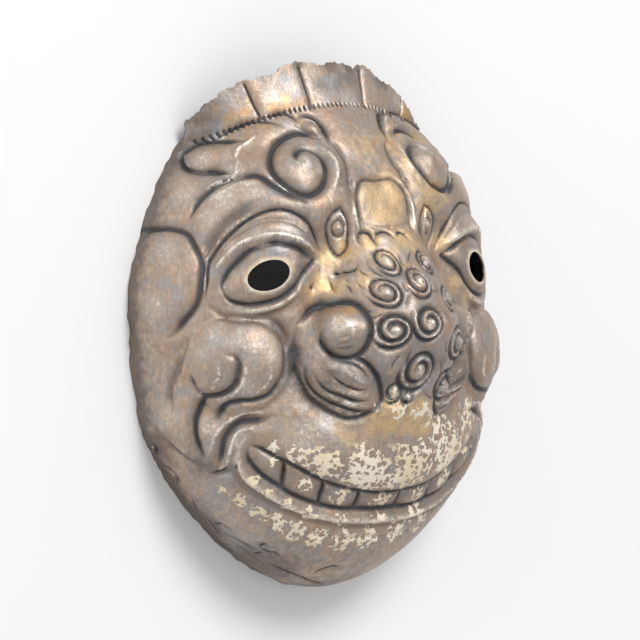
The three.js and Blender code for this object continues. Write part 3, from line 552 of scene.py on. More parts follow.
def carve(p, soft=1.0):
    """Depth of all chased work at each point, and how dark its tarnish lies."""
    keep = np.ones(len(p))
    pillow = np.ones(len(p))
    raised = np.zeros(len(p))
    dark = np.zeros(len(p))
    rubbed_and_highlight = np.zeros(len(p))
    gap = np.full(len(p), 99.0)
    for line in LINES:
        width = line["width"] * soft
        far = 3 * max(width, PILLOW_WIDTH)
        near = np.flatnonzero(((p - line["centre"]) ** 2).sum(axis=1) < (line["reach"] + far) ** 2)
        if not len(near):
            continue
        d, where, length = nearest(p[near], line)
        k = fade(line, where, length)
        shape = np.exp(-(d / (width * (0.5 + 0.5 * k))) ** 2) * k
        gap[near] = np.minimum(gap[near], d - width)
        depth = line["depth"]
        if depth < 0:
            raised[near] = np.maximum(raised[near], -depth * shape)
            # Ridges turn bright along the crest by their ink: rubbed wear, and painted highlights where the ink is
            # high.
            rubbed_and_highlight[near] = np.maximum(rubbed_and_highlight[near], line["ink"] * k * np.exp(-(d / (0.55 * width)) ** 2))
            continue
        strong = min(1, depth / 2.6)
        keep[near] *= 1 - shape * strong
        spread = PILLOW_WIDTH if depth > 1.3 else 0.45 * PILLOW_WIDTH
        pillow[near] *= 1 - k * np.exp(-(d / spread) ** 2) * min(1, depth / 2.2)
        tone = line["ink"] * min(1, 0.35 + depth / 2.2)
        dark[near] = np.maximum(dark[near], k * tone * np.exp(-(d / (0.98 * width)) ** 2))
    return raised - 2.6 * (1 - keep) - PILLOW_DEPTH * (1 - pillow), dark, 1 - pillow, gap, rubbed_and_highlight


def bosses(p):
    """The button in the middle of each curl is rubbed bright and carries a painted highlight."""
    spots = [form(np.float64(x), np.float64(y)) for x, y, *rest in CURLS]
    return np.max([np.exp(-(((p - spot) ** 2).sum(axis=1) / 2.2 ** 2)) for spot in spots], axis=0)


def swell(p):
    rise = np.zeros(len(p))
    for height, x, y, radius in SWELLINGS:
        for side in (1, -1):
            centre = form(np.float64(side * x), np.float64(y))
            d = np.linalg.norm(p - centre, axis=1) / radius
            rise += height * np.clip(1 - d * d, 0, None) ** 1.3
    for x, y, radius, *_ in CURLS:
        centre = form(np.float64(x), np.float64(y))
        d = np.linalg.norm(p - centre, axis=1) / radius
        rise += 0.9 * np.clip(1 - d * d, 0, None) + 0.8 * np.exp(-(d * radius / 1.3) ** 2)
    return rise


draw_eyes()
draw_brows()
draw_forehead()
draw_cheeks()
draw_nose()
draw_nostrils()
draw_mouth()
draw_crown()
print("chased lines", len(LINES))

# %% [markdown]
# ## A net that is fine where the work is fine
# The mask is unrolled to a flat oval plan. Points are spread over the plan on a square
# grid, close together near the lines and far apart on plain metal, and are joined into
# triangles by Blender's own Delaunay function.

# %% Plan
PLAN_X, PLAN_Y = 1.4 * HALF_WIDTH, 1.29 * HALF_HEIGHT
GRID = 1.36
rng = np.random.default_rng(7)


def from_plan(a, b):
    u, v = a / PLAN_X, b / PLAN_Y
    t = np.minimum(np.hypot(u, v), 1)
    k = np.where(t > 1e-9, np.sin(t * math.pi / 2) / np.maximum(t, 1e-9), math.pi / 2)
    return u * k * HALF_WIDTH, v * k * HALF_HEIGHT


def to_plan(x, y):
    u, v = x / HALF_WIDTH, y / HALF_HEIGHT
    s = np.minimum(np.hypot(u, v), 1)
    k = np.where(s > 1e-9, np.arcsin(s) * 2 / math.pi / np.maximum(s, 1e-9), 2 / math.pi)
    return u * k * PLAN_X, v * k * PLAN_Y


def rim_points():
    angle = np.linspace(0, 2 * math.pi, 900, endpoint=False)
    return np.stack([PLAN_X * np.cos(angle), PLAN_Y * np.sin(angle)], axis=-1)


def eye_points(side, count=72, grow=1.0):
    centre, across, up, out = tangent(side * EYE[0], EYE[1])
    t = np.linspace(0, 2 * math.pi, count, endpoint=False)
    tilt = math.radians(-side * EYE_TILT)
    a, b = grow * EYE_HOLE[0] * np.cos(t), grow * EYE_HOLE[1] * np.sin(t)
    u, v = a * math.cos(tilt) - b * math.sin(tilt), a * math.sin(tilt) + b * math.cos(tilt)
    ring = centre + u[:, None] * across + v[:, None] * up
    return np.stack(to_plan(ring[:, 0], ring[:, 1]), axis=-1)


def in_eye(points, grow):
    """True for the plan points inside either eye hole."""
    hit = np.zeros(len(points), bool)
    x, y = from_plan(points[:, 0], points[:, 1])
    for side in (1, -1):
        centre, across, up, out = tangent(side * EYE[0], EYE[1])
        d = np.stack([x, y], axis=-1) - centre[:2]
        plane = np.stack([across[:2], up[:2]])
        uv = d @ np.linalg.inv(plane)
        tilt = math.radians(-side * EYE_TILT)
        a = uv[:, 0] * math.cos(tilt) + uv[:, 1] * math.sin(tilt)
        b = uv[:, 1] * math.cos(tilt) - uv[:, 0] * math.sin(tilt)
        hit |= (a / EYE_HOLE[0]) ** 2 + (b / EYE_HOLE[1]) ** 2 < grow ** 2
    return hit


def inner_points(step, fine):
    """Grid points inside the rim, split near the lines and thinned on plain metal."""
    n = int(PLAN_Y / step) + 1
    i, j = np.meshgrid(np.arange(-n, n + 1), np.arange(-n, n + 1), indexing="ij")
    i, j = i.ravel(), j.ravel()
    points = np.stack([i * step, j * step], axis=-1)
    inside = np.hypot(points[:, 0] / PLAN_X, points[:, 1] / PLAN_Y) < 0.992
    i, j, points = i[inside], j[inside], points[inside]
    if not fine:
        return points
    x, y = from_plan(points[:, 0], points[:, 1])
    gap = carve(form(x, y))[3]
    close = (gap < 0.9) | (ticks(x, y)[1] > 0.05)
    middle = (gap < 5) & ~close
    plain = ~close & ~middle & (i % 2 == 0) & (j % 2 == 0)
    q = step / 4
    split = [points[close] + [a, b] for a in (-q, q) for b in (-q, q)]
    return np.vstack(split + [points[middle], points[plain]])


def triangulate(step, fine):
    rim = rim_points()
    eyes = [eye_points(1), eye_points(-1)]
    inner = inner_points(step, fine)
    inner = inner + rng.uniform(-0.08, 0.08, inner.shape) * step
    inner = inner[~in_eye(inner, 1.06)]
    points = np.vstack([rim] + eyes + [inner])
    edges = []
    start = 0
    for loop in [rim] + eyes:
        n = len(loop)
        edges += [(start + k, start + (k + 1) % n) for k in range(n)]
        start += n
    out = delaunay_2d_cdt([Vector(p) for p in points], edges, [], 0, 1e-5, True)
    order = [source[0] if source else -1 for source in out[3]]
    found = np.array([v[:] for v in out[0]])
    tris = np.array([f[:] for f in out[2] if len(f) == 3])
    middle = found[tris].mean(axis=1)
    tris = tris[~in_eye(middle, 1.0)]
    back = np.full(len(points), -1)
    back[order] = np.arange(len(order))
    loops = []
    start = 0
    for loop in [rim] + eyes:
        loops.append(back[start:start + len(loop)])
        start += len(loop)
    return found, tris, loops


front_plan, front_tris, front_loops = triangulate(GRID, True)
back_plan, back_tris, back_loops = triangulate(1.95, False)
print("front", len(front_tris), "back", len(back_tris))

# %% [markdown]
# ## Small unevenness
# Hammered metal is never flat. A repeatable noise gives soft dents, and later it also
# decides where the tarnish is thick. It has no hidden randomness, so every run is alike.

# %% Noise
def noise(p, size, seed=0):
    """Soft values from 0 to 1 that change over about this many millimetres."""
    q = p / size + 17.3 * seed
    cell = np.floor(q)
    f = q - cell
    f = f * f * (3 - 2 * f)
    total = 0
    for corner in np.ndindex(2, 2, 2):
        at = cell + corner
        h = np.sin(at @ np.array([127.1, 311.7, 74.7]) + 13.7 * seed) * 43758.5453
        weight = np.prod(np.where(corner, f, 1 - f), axis=-1)
        total = total + weight * (h - np.floor(h))
    return total


# %% [markdown]
# ## The front face
# Each net point is lifted to the bare form, then moved along the way the sheet faces by
# all the relief at that place. The cut rim stays level, because the mask rests on it.

# %% Front face
def chased(plan):
    x, y = from_plan(plan[:, 0], plan[:, 1])
    base, n = form(x, y), facing(x, y)
    relief, dark, sunk, gap, rubbed_and_highlight = carve(base)
    relief = relief + swell(base) + mouth_rise(x, y)
    tick, cord = ticks(x, y)
    relief = relief + 0.3 * cord - 1.1 * tick
    relief = relief + 0.6 * (noise(base, 10, 1) - 0.5) + 0.25 * (noise(base, 3.4, 2) - 0.5)
    on, high = crown(x, y)[0], dome(x, y)[..., 2]
    hold = np.where(on, 1.0, np.clip(high / 5, 0, 1))
    uneven = 2.0 * (noise(base, 17, 3) - 0.5) + 1.6 * (noise(base, 4.5, 4) - 0.5) - 0.5
    uneven = np.where(on, 0, uneven * np.clip(1 - high / 16, 0, 1))
    return base, n, relief * hold + uneven, np.maximum(dark, 1.35 * tick), sunk, rubbed_and_highlight


base, out, relief, dark, sunk, rubbed_and_highlight = chased(front_plan)
front = base + relief[:, None] * out
print("relief from", round(relief.min(), 2), "to", round(relief.max(), 2), "mm")

# %% [markdown]
# ## The back face
# The back is the same sheet seen from behind. It follows the deepest relief near each
# place, one sheet thickness below, so it shows every line as a soft ridge.

# %% Back face
CELL = 1.5


def beneath(plan, relief, wanted):
    n = int(PLAN_Y / CELL) + 4
    low = np.full((2 * n + 1, 2 * n + 1), 9.0)
    i = np.round(plan / CELL).astype(int) + n
    np.minimum.at(low, (i[:, 0], i[:, 1]), relief)
    for turn in range(2):
        wide = np.pad(low, 1, mode="edge")
        low = np.min([wide[a:a + 2 * n + 1, b:b + 2 * n + 1] for a in range(3) for b in range(3)], axis=0)
    wide = np.pad(np.minimum(low, 0), 1, mode="edge")
    low = np.mean([wide[a:a + 2 * n + 1, b:b + 2 * n + 1] for a in range(3) for b in range(3)], axis=0)
    j = np.round(wanted / CELL).astype(int) + n
    return low[j[:, 0], j[:, 1]]


bx, by = from_plan(back_plan[:, 0], back_plan[:, 1])
back_out = facing(bx, by)
back_relief = beneath(front_plan, relief, back_plan)
back = form(bx, by) + (back_relief - SHEET)[:, None] * back_out
for near, far in zip(front_loops, back_loops):
    back[far] = front[near] - SHEET * out[near]

# %% [markdown]
# ## Joining front and back
# A strip of faces along the rim and round each eye hole closes the sheet, so it has a real
# cut edge of true thickness.

# %% Join the faces
LOW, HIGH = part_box("mask_shell")
SHIFT = np.array([0, LOW.y / MM + HALF_HEIGHT, 0])


def strip(near, far):
    faces = []
    for k in range(len(near)):
        m = (k + 1) % len(near)
        faces.append((near[k], near[m], far[m]))
        faces.append((near[k], far[m], far[k]))
    return np.array(faces)


count = len(front)
back_faces = back_tris[:, ::-1] + count
rims = [strip(front_loops[0], back_loops[0] + count)[:, ::-1]]
rims += [strip(near, far + count) for near, far in zip(front_loops[1:], back_loops[1:])]
points = np.vstack([front, back]) + SHIFT
faces = np.vstack([front_tris, back_faces] + rims)
mesh = bpy.data.meshes.new("mask_sheet")
mesh.from_pydata((points * MM).tolist(), [], faces.tolist())
mask = bpy.data.objects.new("mask_sheet", mesh)
bpy.context.collection.objects.link(mask)
mesh.polygons.foreach_set("use_smooth", np.ones(len(faces), bool))
mesh.set_sharp_from_angle(angle=math.radians(62))
mesh.validate()
mesh.update()
print("triangles", len(faces))

# %% [markdown]
# ## Where the metal is worn
# Raised edges are rubbed bright and hollows stay dark. A point stands proud if it lies
# above the mean of its neighbours. Divided by the square of their distance, this tells how
# sharp the edge is, whether the net is fine or coarse there.

# %% Worn edges
edges = np.unique(np.sort(np.vstack([front_tris[:, [0, 1]], front_tris[:, [1, 2]], front_tris[:, [2, 0]]]), axis=1), axis=0)
degree = np.bincount(edges.ravel(), minlength=count)[:, None]


def relax(values, rounds):
    for turn in range(rounds):
        total = np.zeros_like(values)
        for k in range(values.shape[1]):
            total[:, k] = np.bincount(edges[:, 0], values[edges[:, 1], k], count)
            total[:, k] += np.bincount(edges[:, 1], values[edges[:, 0], k], count)
        values = 0.4 * values + 0.6 * total / degree
    return values


normal = np.zeros((count, 3))
corner = front[front_tris]
flat = np.cross(corner[:, 1] - corner[:, 0], corner[:, 2] - corner[:, 0])
for k in range(3):
    np.add.at(normal, front_tris[:, k], flat)
normal = unit(relax(unit(normal), 1))
above = ((front - relax(front, 3)) * normal).sum(axis=1)
span = ((front[edges[:, 0]] - front[edges[:, 1]]) ** 2).sum(axis=1)
spacing = (np.bincount(edges[:, 0], span, count) + np.bincount(edges[:, 1], span, count)) / degree[:, 0]
sharp = relax((above / spacing)[:, None], 1)[:, 0]
print("sharpness", np.percentile(sharp, [5, 50, 80, 90, 95, 99]).round(3))
proud = np.clip(sharp / 0.30, -1, 1)

# %% [markdown]
# ## Patches of gilding, heat colour and flaking
# These lie in certain places, so each is a handful of soft spots. The shader breaks their
# edges up with noise.

# %% Patches
def patches(p, spots):
    best = np.zeros(len(p))
    for x, y, radius, strength in spots:
        centre = form(np.float64(x), np.float64(y))
        d = np.linalg.norm(p - centre, axis=1) / radius
        best = np.maximum(best, strength * np.exp(-d * d))
    return best


GILT = [(6, -40, 9, 1.0), (-12, -38, 8, 1.0), (0, 66, 16, 1.0), (7, 76, 9, 0.9), (30, 101, 9, 0.5), (50, 96, 9, 0.6), (25, 85, 7, 0.7), (6, 48, 13, 0.8),
        (41, 44, 8, 0.8), (4, -45, 9, 1.0), (14, -47, 9, 0.8), (-8, -45, 9, 0.9), (28, 62, 9, 0.8), (20, 95, 12, 0.5),
        (0, 92, 14, 0.5), (-36, 40, 9, 0.7), (-40, 26, 7, 0.9), (-27, 43, 7, 0.9), (-15, 48, 8, 0.8), (-34, 24, 6, 0.8),
        (-18, -45, 8, 0.8), (-30, -50, 9, 0.6), (-48, 21, 6, 0.8), (-26, 28, 8, 0.7), (-10, 40, 10, 0.7),
        (40, 66, 9, 0.6), (60, 16, 8, 0.8), (50, 24, 7, 0.7), (-56, -48, 8, 0.5), (31, 70, 10, 0.8), (-72, 44, 5, 0.5)]
ORANGE = [(16, 104, 8, 0.5), (-14, 92, 8, 0.45), (-62, 76, 8, 0.45), (36, 70, 10, 0.7), (-2, 58, 9, 0.45),
          (-34, 121, 4, 1.0), (-41, 117, 5, 1.0), (-35, 117, 5, 0.9), (-27, 118, 4, 0.7), (-61, 108, 4, 0.8),
          (-54, 112, 5, 0.8), (-58, 110, 4, 0.7), (-36, 12, 5, 1.0), (-40, 7, 5, 0.8), (15, 119, 5, 0.6),
          (48, 116, 7, 0.9), (-46, -2, 4, 0.4), (-99, 40, 6, 0.5), (-106, 34, 8, 0.8), (-107, 22, 6, 0.6), (-48, 106, 7, 0.6),
          (-72, 91, 7, 0.5), (46, 54, 7, 0.6), (-84, 32, 4, 0.4), (-30, 109, 6, 0.5)]
BLUE = [(-66, 104, 6, 0.9), (-59, 113, 6, 0.8), (-53, 117, 6, 0.7), (-31, 128, 6, 0.9), (-28, 124, 5, 0.8),
        (-5, 131, 8, 0.8), (6, 133, 8, 0.7), (26, 131, 8, 0.7), (-101, 26, 7, 0.7), (-100, 20, 6, 0.6),
        (-57, 72, 6, 0.7), (-61, 43, 8, 0.9), (-49, 60, 6, 0.6), (9, -9, 12, 0.7), (9, -27, 9, 0.7),
        (-21, -26, 9, 0.6), (-61, -46, 8, 0.6), (24, 2, 9, 0.7), (-17, -15, 8, 0.6), (-34, 15, 4, 0.7),
        (-60, -104, 26, 0.7), (-78, -76, 18, 0.6), (-37, 84, 5, 0.7), (-42, 92, 5, 0.5), (-52, -46, 7, 0.6)]
# Places where handling has bared bright metal in fine strokes, and a painted highlight on the nostril ball
BARE_AND_HIGHLIGHT = [(-76, -14, 18, 0.45), (-10, 125, 14, 0.4), (-36, 122, 10, 0.5), (20, 126, 12, 0.4), (20, 0, 20, 0.35), (10, -24, 12, 0.4),
        (-77, 69, 9, 1.0), (-67, 71, 7, 0.9), (-84, 60, 8, 0.7), (-88, 72, 8, 0.7), (-77, 88, 7, 0.8), (-69, 83, 6, 0.9),
        (-42, 84, 6, 0.8), (-34, 82, 4, 0.9), (-40, 4, 7, 1.0), (-89, 2, 8, 0.8), (-82, -4, 7, 0.7), (-93, -10, 6, 0.6),
        (-76, -26, 6, 0.8), (-66, -12, 7, 0.7), (-68, 48, 6, 0.9), (-80, 44, 5, 0.9), (-58, 50, 6, 0.8), (-99, 42, 8, 0.7),
        (-105, 14, 8, 0.7), (-99, -42, 9, 0.7), (-94, -28, 7, 0.6), (-40, 122, 6, 0.9), (-29, 126, 5, 0.8),
        (-14, 122, 8, 0.7), (5, 122, 8, 0.7), (43, 122, 8, 0.7), (-87, -46, 6, 0.9), (-76, -52, 6, 0.8), (-50, -52, 12, 0.8),
        (0, 68, 9, 0.4), (66, 70, 14, 0.7), (80, -12, 16, 0.6), (60, 50, 10, 0.6), (40, 90, 9, 0.6), (20, 56, 7, 0.5)]
FLAKE = [(10, -66, 20, 1.0), (-16, -67, 18, 1.0), (38, -60, 18, 1.0), (58, -47, 15, 0.85), (-38, -64, 12, 0.95),
         (-50, -60, 8, 0.95), (-62, -56, 5, 0.8), (28, -48, 12, 0.8), (70, -60, 10, 0.6), (6, -40, 7, 0.95), (-8, -39, 6, 0.95),
         (-19, -38, 5, 0.9), (17, -42, 7, 0.8), (-12, -31, 6, 0.6), (23, -30, 5, 0.5), (-66, -72, 4, 0.9), (-58, -79, 4, 0.9), (-50, -85, 5, 0.9),
         (-38, -90, 6, 0.9), (-20, -93, 6, 0.9), (2, -94, 7, 0.9), (28, -92, 8, 0.85), (-76, -77, 4, 0.9), (-69, -82, 5, 0.95),
         (-60, -88, 6, 0.95), (-51, -93, 7, 0.95), (-42, -97, 8, 0.95), (-30, -101, 8, 0.95), (-15, -103, 9, 0.9),
         (2, -103, 9, 0.9), (20, -100, 9, 0.85), (38, -97, 8, 0.8)]
TOOTH_WORN = [(-60, -63, 4, 0.9), (-45, -75, 6, 0.9), (-25, -81, 7, 0.9), (-1, -84.5, 8, 0.9), (23, -81.5, 7, 0.9),
              (44, -75, 6, 0.9), (60, -63, 5, 0.9)]
# Soot spots, and painted shade along the left and lower edges where little light falls.
SOOT_AND_SHADE = [(13, -14, 6, 0.4), (-12, -12, 6, 0.35), (-22, -24, 6, 0.4),
        (-22, 133, 5, 0.7), (-4, 136, 7, 0.9), (9, 135, 7, 0.8), (-41, 127, 4, 0.6), (30, 131, 6, 0.7),
        (-54, 119, 4, 0.5), (-66, 110, 4, 0.5), (-70, 103, 4, 0.7), (-12, 128, 6, 0.6), (-44, -118, 22, 1.0),
        (-74, -98, 16, 1.0), (0, -130, 20, 0.9), (-97, -58, 12, 0.8), (-108, 8, 9, 0.6), (-107, -24, 10, 0.7),
        (-103, -46, 8, 0.7), (-107, 34, 7, 0.5), (-88, -80, 9, 0.8),
        (-60, -12, 6, 0.4), (-48, -46, 12, 0.5), (-30, -44, 10, 0.4), (-46, 62, 8, 0.5), (-22, 74, 10, 0.4),
        (40, -20, 16, 0.6), (-75, 62, 9, 0.3), (-85, -66, 10, 0.6), (-66, 27, 16, 0.45), (-52, 32, 8, 0.4),
        (66, 27, 16, 0.45), (-72, 110, 14, 0.6), (-84, 96, 8, 0.8), (4, 131, 14, 0.5), (-100, 52, 6, 0.5),
        (44, -24, 12, 0.6), (-44, -20, 12, 0.45), (-28, 2, 7, 0.4)]


def store(name, values, behind=0.0):
    layer = mesh.attributes.new(name, "FLOAT", "POINT")
    layer.data.foreach_set("value", np.concatenate([values, np.full(len(back), behind)]).astype(np.float32))


store("tarnish", dark)
store("sunk", sunk)
store("proud", proud)
# Rubbed ridges and curl bosses, with painted highlights among them.
store("rubbed_and_highlight", np.maximum(rubbed_and_highlight, bosses(base)))
store("bare_and_highlight", patches(base, BARE_AND_HIGHLIGHT))
store("gilt", patches(base, GILT))
store("orange", patches(base, ORANGE))
store("blue", patches(base, BLUE))
in_mouth = np.abs(mouth_rise(*from_plan(front_plan[:, 0], front_plan[:, 1]))) > 0.05
flaked = patches(base, FLAKE) * np.where(in_mouth, 0.5, 1.0)
store("flake", np.maximum(flaked, patches(base, TOOTH_WORN)))
# Painted shade: the sheet darkens where it comes down close to the floor, except on the crown band.
low_edge_shade = np.where(crown(*from_plan(*front_plan.T))[0], 0, 0.95 * np.exp(-(front[:, 2] / 11) ** 2))
store("soot_and_shade", np.maximum(patches(base, SOOT_AND_SHADE), low_edge_shade))
x_plan, y_plan = front_plan[:, 0], front_plan[:, 1]
rings = [np.hypot(x_plan[:, None] - ring[:, 0], y_plan[:, None] - ring[:, 1]).min(axis=1)
         for ring in (eye_points(1), eye_points(-1))]
store("rim", np.exp(-(np.minimum(*rings) / 1.1) ** 2))
store("behind", np.zeros(count), 1.0)

# %% [markdown]
# ## The silver finish
# Old silver is warm grey where it is handled and slate where soot and tarnish sit in the
# lines. The shader starts from one metal and lays each change over it through a mask.

# %% Shader helpers
silver = bpy.data.materials.new("tarnished_silver")
silver.use_nodes = True
nodes, links = silver.node_tree.nodes, silver.node_tree.links
shader = nodes["Principled BSDF"]


def feed(socket, value):
    if isinstance(value, bpy.types.NodeSocket):
        links.new(value, socket)
    else:
        socket.default_value = value


def read(name):
    node = nodes.new("ShaderNodeAttribute")
    node.attribute_name = name
    return node.outputs["Fac"]


def math_node(kind, a, b=0.0, clamp=False):
    node = nodes.new("ShaderNodeMath")
    node.operation = kind
    node.use_clamp = clamp
    feed(node.inputs[0], a)
    feed(node.inputs[1], b)
    return node.outputs[0]


def between(value, low, high):
    """0 below low, 1 above high, and smooth between."""
    node = nodes.new("ShaderNodeMapRange")
    node.interpolation_type = "SMOOTHSTEP"
    feed(node.inputs["Value"], value)
    node.inputs["From Min"].default_value = low
    node.inputs["From Max"].default_value = high
    return node.outputs["Result"]


def times(a, b):
    return math_node("MULTIPLY", a, b, True)


def blend(amount, under, over):
    node = nodes.new("ShaderNodeMix")
    node.data_type = "RGBA"
    feed(node.inputs[0], amount)
    for socket, value in ((node.inputs[6], under), (node.inputs[7], over)):
        feed(socket, value if isinstance(value, bpy.types.NodeSocket) else (*value, 1))
    return node.outputs[2]


def lift(amount, under, over):
    node = nodes.new("ShaderNodeMix")
    feed(node.inputs[0], amount)
    feed(node.inputs[2], under)
    feed(node.inputs[3], over)
    return node.outputs[0]


place = nodes.new("ShaderNodeTexCoord").outputs["Object"]


def grain(size_mm, detail=4, rough=0.55, stretch=(1, 1, 1), turn=(0, 0, 0)):
    mapping = nodes.new("ShaderNodeMapping")
    links.new(place, mapping.inputs["Vector"])
    mapping.inputs["Scale"].default_value = stretch
    mapping.inputs["Rotation"].default_value = turn
    node = nodes.new("ShaderNodeTexNoise")
    links.new(mapping.outputs[0], node.inputs["Vector"])
    node.inputs["Scale"].default_value = 1 / (size_mm * MM)
    node.inputs["Detail"].default_value = detail
    node.inputs["Roughness"].default_value = rough
    return node.outputs["Fac"]


# %% [markdown]
# ### Colour of the metal
# The order of the layers is the order in which they came about: metal, general tarnish, dark lines,
# gilding and heat colour, soot and painted shade, rubbed edges and painted highlights, and the flaking on top.

# %% Metal colour
WARM, COOL = (0.45, 0.335, 0.25), (0.36, 0.315, 0.285)
BROWN, SLATE = (0.225, 0.175, 0.14), (0.058, 0.061, 0.067)
BRIGHT_WEAR_AND_HIGHLIGHT, GOLD = (0.95, 0.87, 0.75), (0.80, 0.57, 0.31)
FIRE, STEEL = (0.62, 0.37, 0.15), (0.33, 0.345, 0.365)
CREAM, CRUST, SCUFF = (0.88, 0.79, 0.64), (0.80, 0.66, 0.46), (0.60, 0.49, 0.38)
SOOT_CRACK_AND_SHADE, INSIDE_TARNISH_AND_SHADE, PALE = (0.115, 0.10, 0.088), (0.045, 0.037, 0.031), (0.62, 0.54, 0.47)
RUST, DOVE, ASH = (0.52, 0.31, 0.19), (0.38, 0.38, 0.395), (0.195, 0.195, 0.19)


def plus(a, b, scale=1.0):
    return math_node("ADD", a, math_node("MULTIPLY", b, scale))


cloud, mottle, speck = grain(26), grain(5.0, 6, 0.66), grain(1.3, 3)
stain, fibre = grain(2.6, 5, 0.6), grain(1.5, 5, 0.65, (1, 0.3, 0.6), (0.5, 0.4, 0.9))
tarnish, sunk_in, proud_of = read("tarnish"), read("sunk"), read("proud")
colour = blend(between(plus(cloud, mottle, 0.35), 0.50, 0.86), WARM, COOL)
colour = blend(times(between(plus(stain, mottle, 0.6), 0.76, 1.02), 0.34), colour, BROWN)
tint = grain(9.0, 5, 0.62)
colour = blend(times(between(tint, 0.52, 0.66), 0.46), colour, RUST)
colour = blend(times(between(tint, 0.48, 0.34), 0.55), colour, DOVE)
colour = blend(times(between(fibre, 0.46, 0.64), 0.48), colour, SCUFF)
hollow = blend(between(plus(tint, stain, 0.4), 0.62, 0.78), ASH, BROWN)
colour = blend(times(between(plus(sunk_in, fibre, 0.5), 0.42, 1.30), 0.54), colour, hollow)
gilt = times(between(plus(math_node("MULTIPLY", mottle, 1.1), read("gilt"), 0.75), 0.66, 1.22), 0.85)
colour = blend(gilt, colour, GOLD)
blue = times(between(plus(read("blue"), mottle, 0.9), 0.70, 1.35), 0.72)
colour = blend(blue, colour, STEEL)
fire = times(between(plus(read("orange"), mottle, 0.9), 0.75, 1.45), 0.8)
colour = blend(fire, colour, FIRE)
# Soot and painted shade darken the metal here.
soot_and_shade = times(between(plus(read("soot_and_shade"), mottle, 1.0), 0.55, 1.3), 0.72)
colour = blend(soot_and_shade, colour, SOOT_CRACK_AND_SHADE)
lines = times(between(plus(tarnish, fibre, 0.6), 0.42, 1.10), 0.95)
colour = blend(lines, colour, SLATE)
broken = between(grain(2.4, 3), 0.40, 0.55)
# Raised edges, ridges and bosses turn bright: rubbed wear, and painted highlights.
worn_and_highlight = times(times(between(plus(proud_of, speck, 0.9), 0.85, 1.45), between(mottle, 0.38, 0.58)), 0.65)
worn_and_highlight = math_node("MAXIMUM", worn_and_highlight, times(times(read("rubbed_and_highlight"), broken), 0.85))
colour = blend(worn_and_highlight, colour, BRIGHT_WEAR_AND_HIGHLIGHT)
# Bared metal, and the painted highlight on the nostril ball, turn pale.
bare_and_highlight = plus(read("bare_and_highlight"), mottle, 0.8)
colour = blend(times(between(bare_and_highlight, 0.5, 1.3), 0.5), colour, PALE)
flecks = grain(1.2, 4, 0.7, (1, 0.6, 0.8), (0.3, 0.2, 0.6))
chips = times(between(plus(flecks, bare_and_highlight, 0.10), 0.67, 0.76), between(bare_and_highlight, 0.55, 1.1))
hair = times(between(grain(1.1, 4, 0.6, (1, 0.25, 0.5), (0.9, 0.4, 0.3)), 0.56, 0.66), between(bare_and_highlight, 0.75, 1.15))
colour = blend(times(math_node("MAXIMUM", chips, hair), 0.62), colour, BRIGHT_WEAR_AND_HIGHLIGHT)
# The back is very dark: tarnish, and painted shade for the little light that gets inside.
colour = blend(read("behind"), colour, INSIDE_TARNISH_AND_SHADE)

# %% [markdown]
# ### Flaking
# On the lip and chin a pale crust has cracked away in small oval cells, which leaves a
# lace of cream lines. A Voronoi texture gives the cells and a noise breaks the lace.

# %% Flaking
bent = nodes.new("ShaderNodeTexNoise")
bent.inputs["Scale"].default_value = 1 / (3 * MM)
bent.inputs["Detail"].default_value = 4
links.new(place, bent.inputs["Vector"])
shifted = nodes.new("ShaderNodeMix")
shifted.data_type = "VECTOR"
shifted.inputs[0].default_value = 0.004
links.new(place, shifted.inputs[4])
links.new(bent.outputs["Color"], shifted.inputs[5])


def cells(size_mm, kind):
    node = nodes.new("ShaderNodeTexVoronoi")
    node.feature = kind
    node.inputs["Scale"].default_value = 1 / (size_mm * MM)
    links.new(shifted.outputs[1], node.inputs["Vector"])
    return node.outputs["Distance"]


pits = between(plus(cells(3.6, "F1"), grain(1.3, 4, 0.6), 0.55), 0.58, 0.64)
ragged = plus(plus(cells(4.4, "F1"), cells(2.3, "F1"), 0.6), grain(1.5, 4, 0.7), 0.35)
left = plus(plus(math_node("MULTIPLY", mottle, 0.75), read("flake"), 0.85), ragged, 0.9)
flake = times(times(between(left, 1.80, 1.86), pits), between(read("flake"), 0.3, 0.5))
crackle = times(between(cells(7.0, "DISTANCE_TO_EDGE"), 0.05, 0.0), between(plus(gilt, stain, 1.2), 0.95, 1.25))
colour = blend(times(crackle, 0.28), colour, SOOT_CRACK_AND_SHADE)
flake = times(flake, math_node("SUBTRACT", 1.0, times(lines, 0.8)))
flake = math_node("MAXIMUM", flake, times(read("rim"), between(speck, 0.25, 0.45)))
colour = blend(flake, colour, blend(between(cloud, 0.42, 0.58), CREAM, CRUST))
feed(shader.inputs["Base Color"], colour)

# %% [markdown]
# ### Gloss and surface
# Rubbed metal is glossy, tarnish is dull, and flakes are not metal at all. Bump adds the
# hammer marks, scratches and pits that are too small for the mesh.

# %% Gloss and bump
metal = lift(flake, lift(lines, 0.8, 0.4), 0.15)
feed(shader.inputs["Metallic"], metal)
gloss = lift(between(mottle, 0.35, 0.7), 0.47, 0.56)
gloss = lift(worn_and_highlight, gloss, 0.38)
gloss = lift(lines, gloss, 0.65)
feed(shader.inputs["Roughness"], lift(flake, gloss, 0.75))

scratch = between(grain(0.9, 3, 0.6, (1, 0.15, 0.4), (0.3, 0.2, 0.9)), 0.56, 0.72)
pits = between(grain(0.8, 2), 0.62, 0.75)
height = math_node("MULTIPLY", grain(4.5, 3, 0.5), 0.7)
height = plus(plus(height, speck, 0.2), scratch, -0.06)
height = plus(plus(height, pits, -0.08), flake, 0.2)
bump = nodes.new("ShaderNodeBump")
bump.inputs["Distance"].default_value = 0.7 * MM
bump.inputs["Strength"].default_value = 0.8
links.new(height, bump.inputs["Height"])
links.new(bump.outputs["Normal"], shader.inputs["Normal"])
mesh.materials.append(silver)

# %% [markdown]
# ## Place the piece in the part
# The finished sheet stands for the plain solid of the part and rides on its one body.

# %% Frame
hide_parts("mask_shell")
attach(mask, "root")

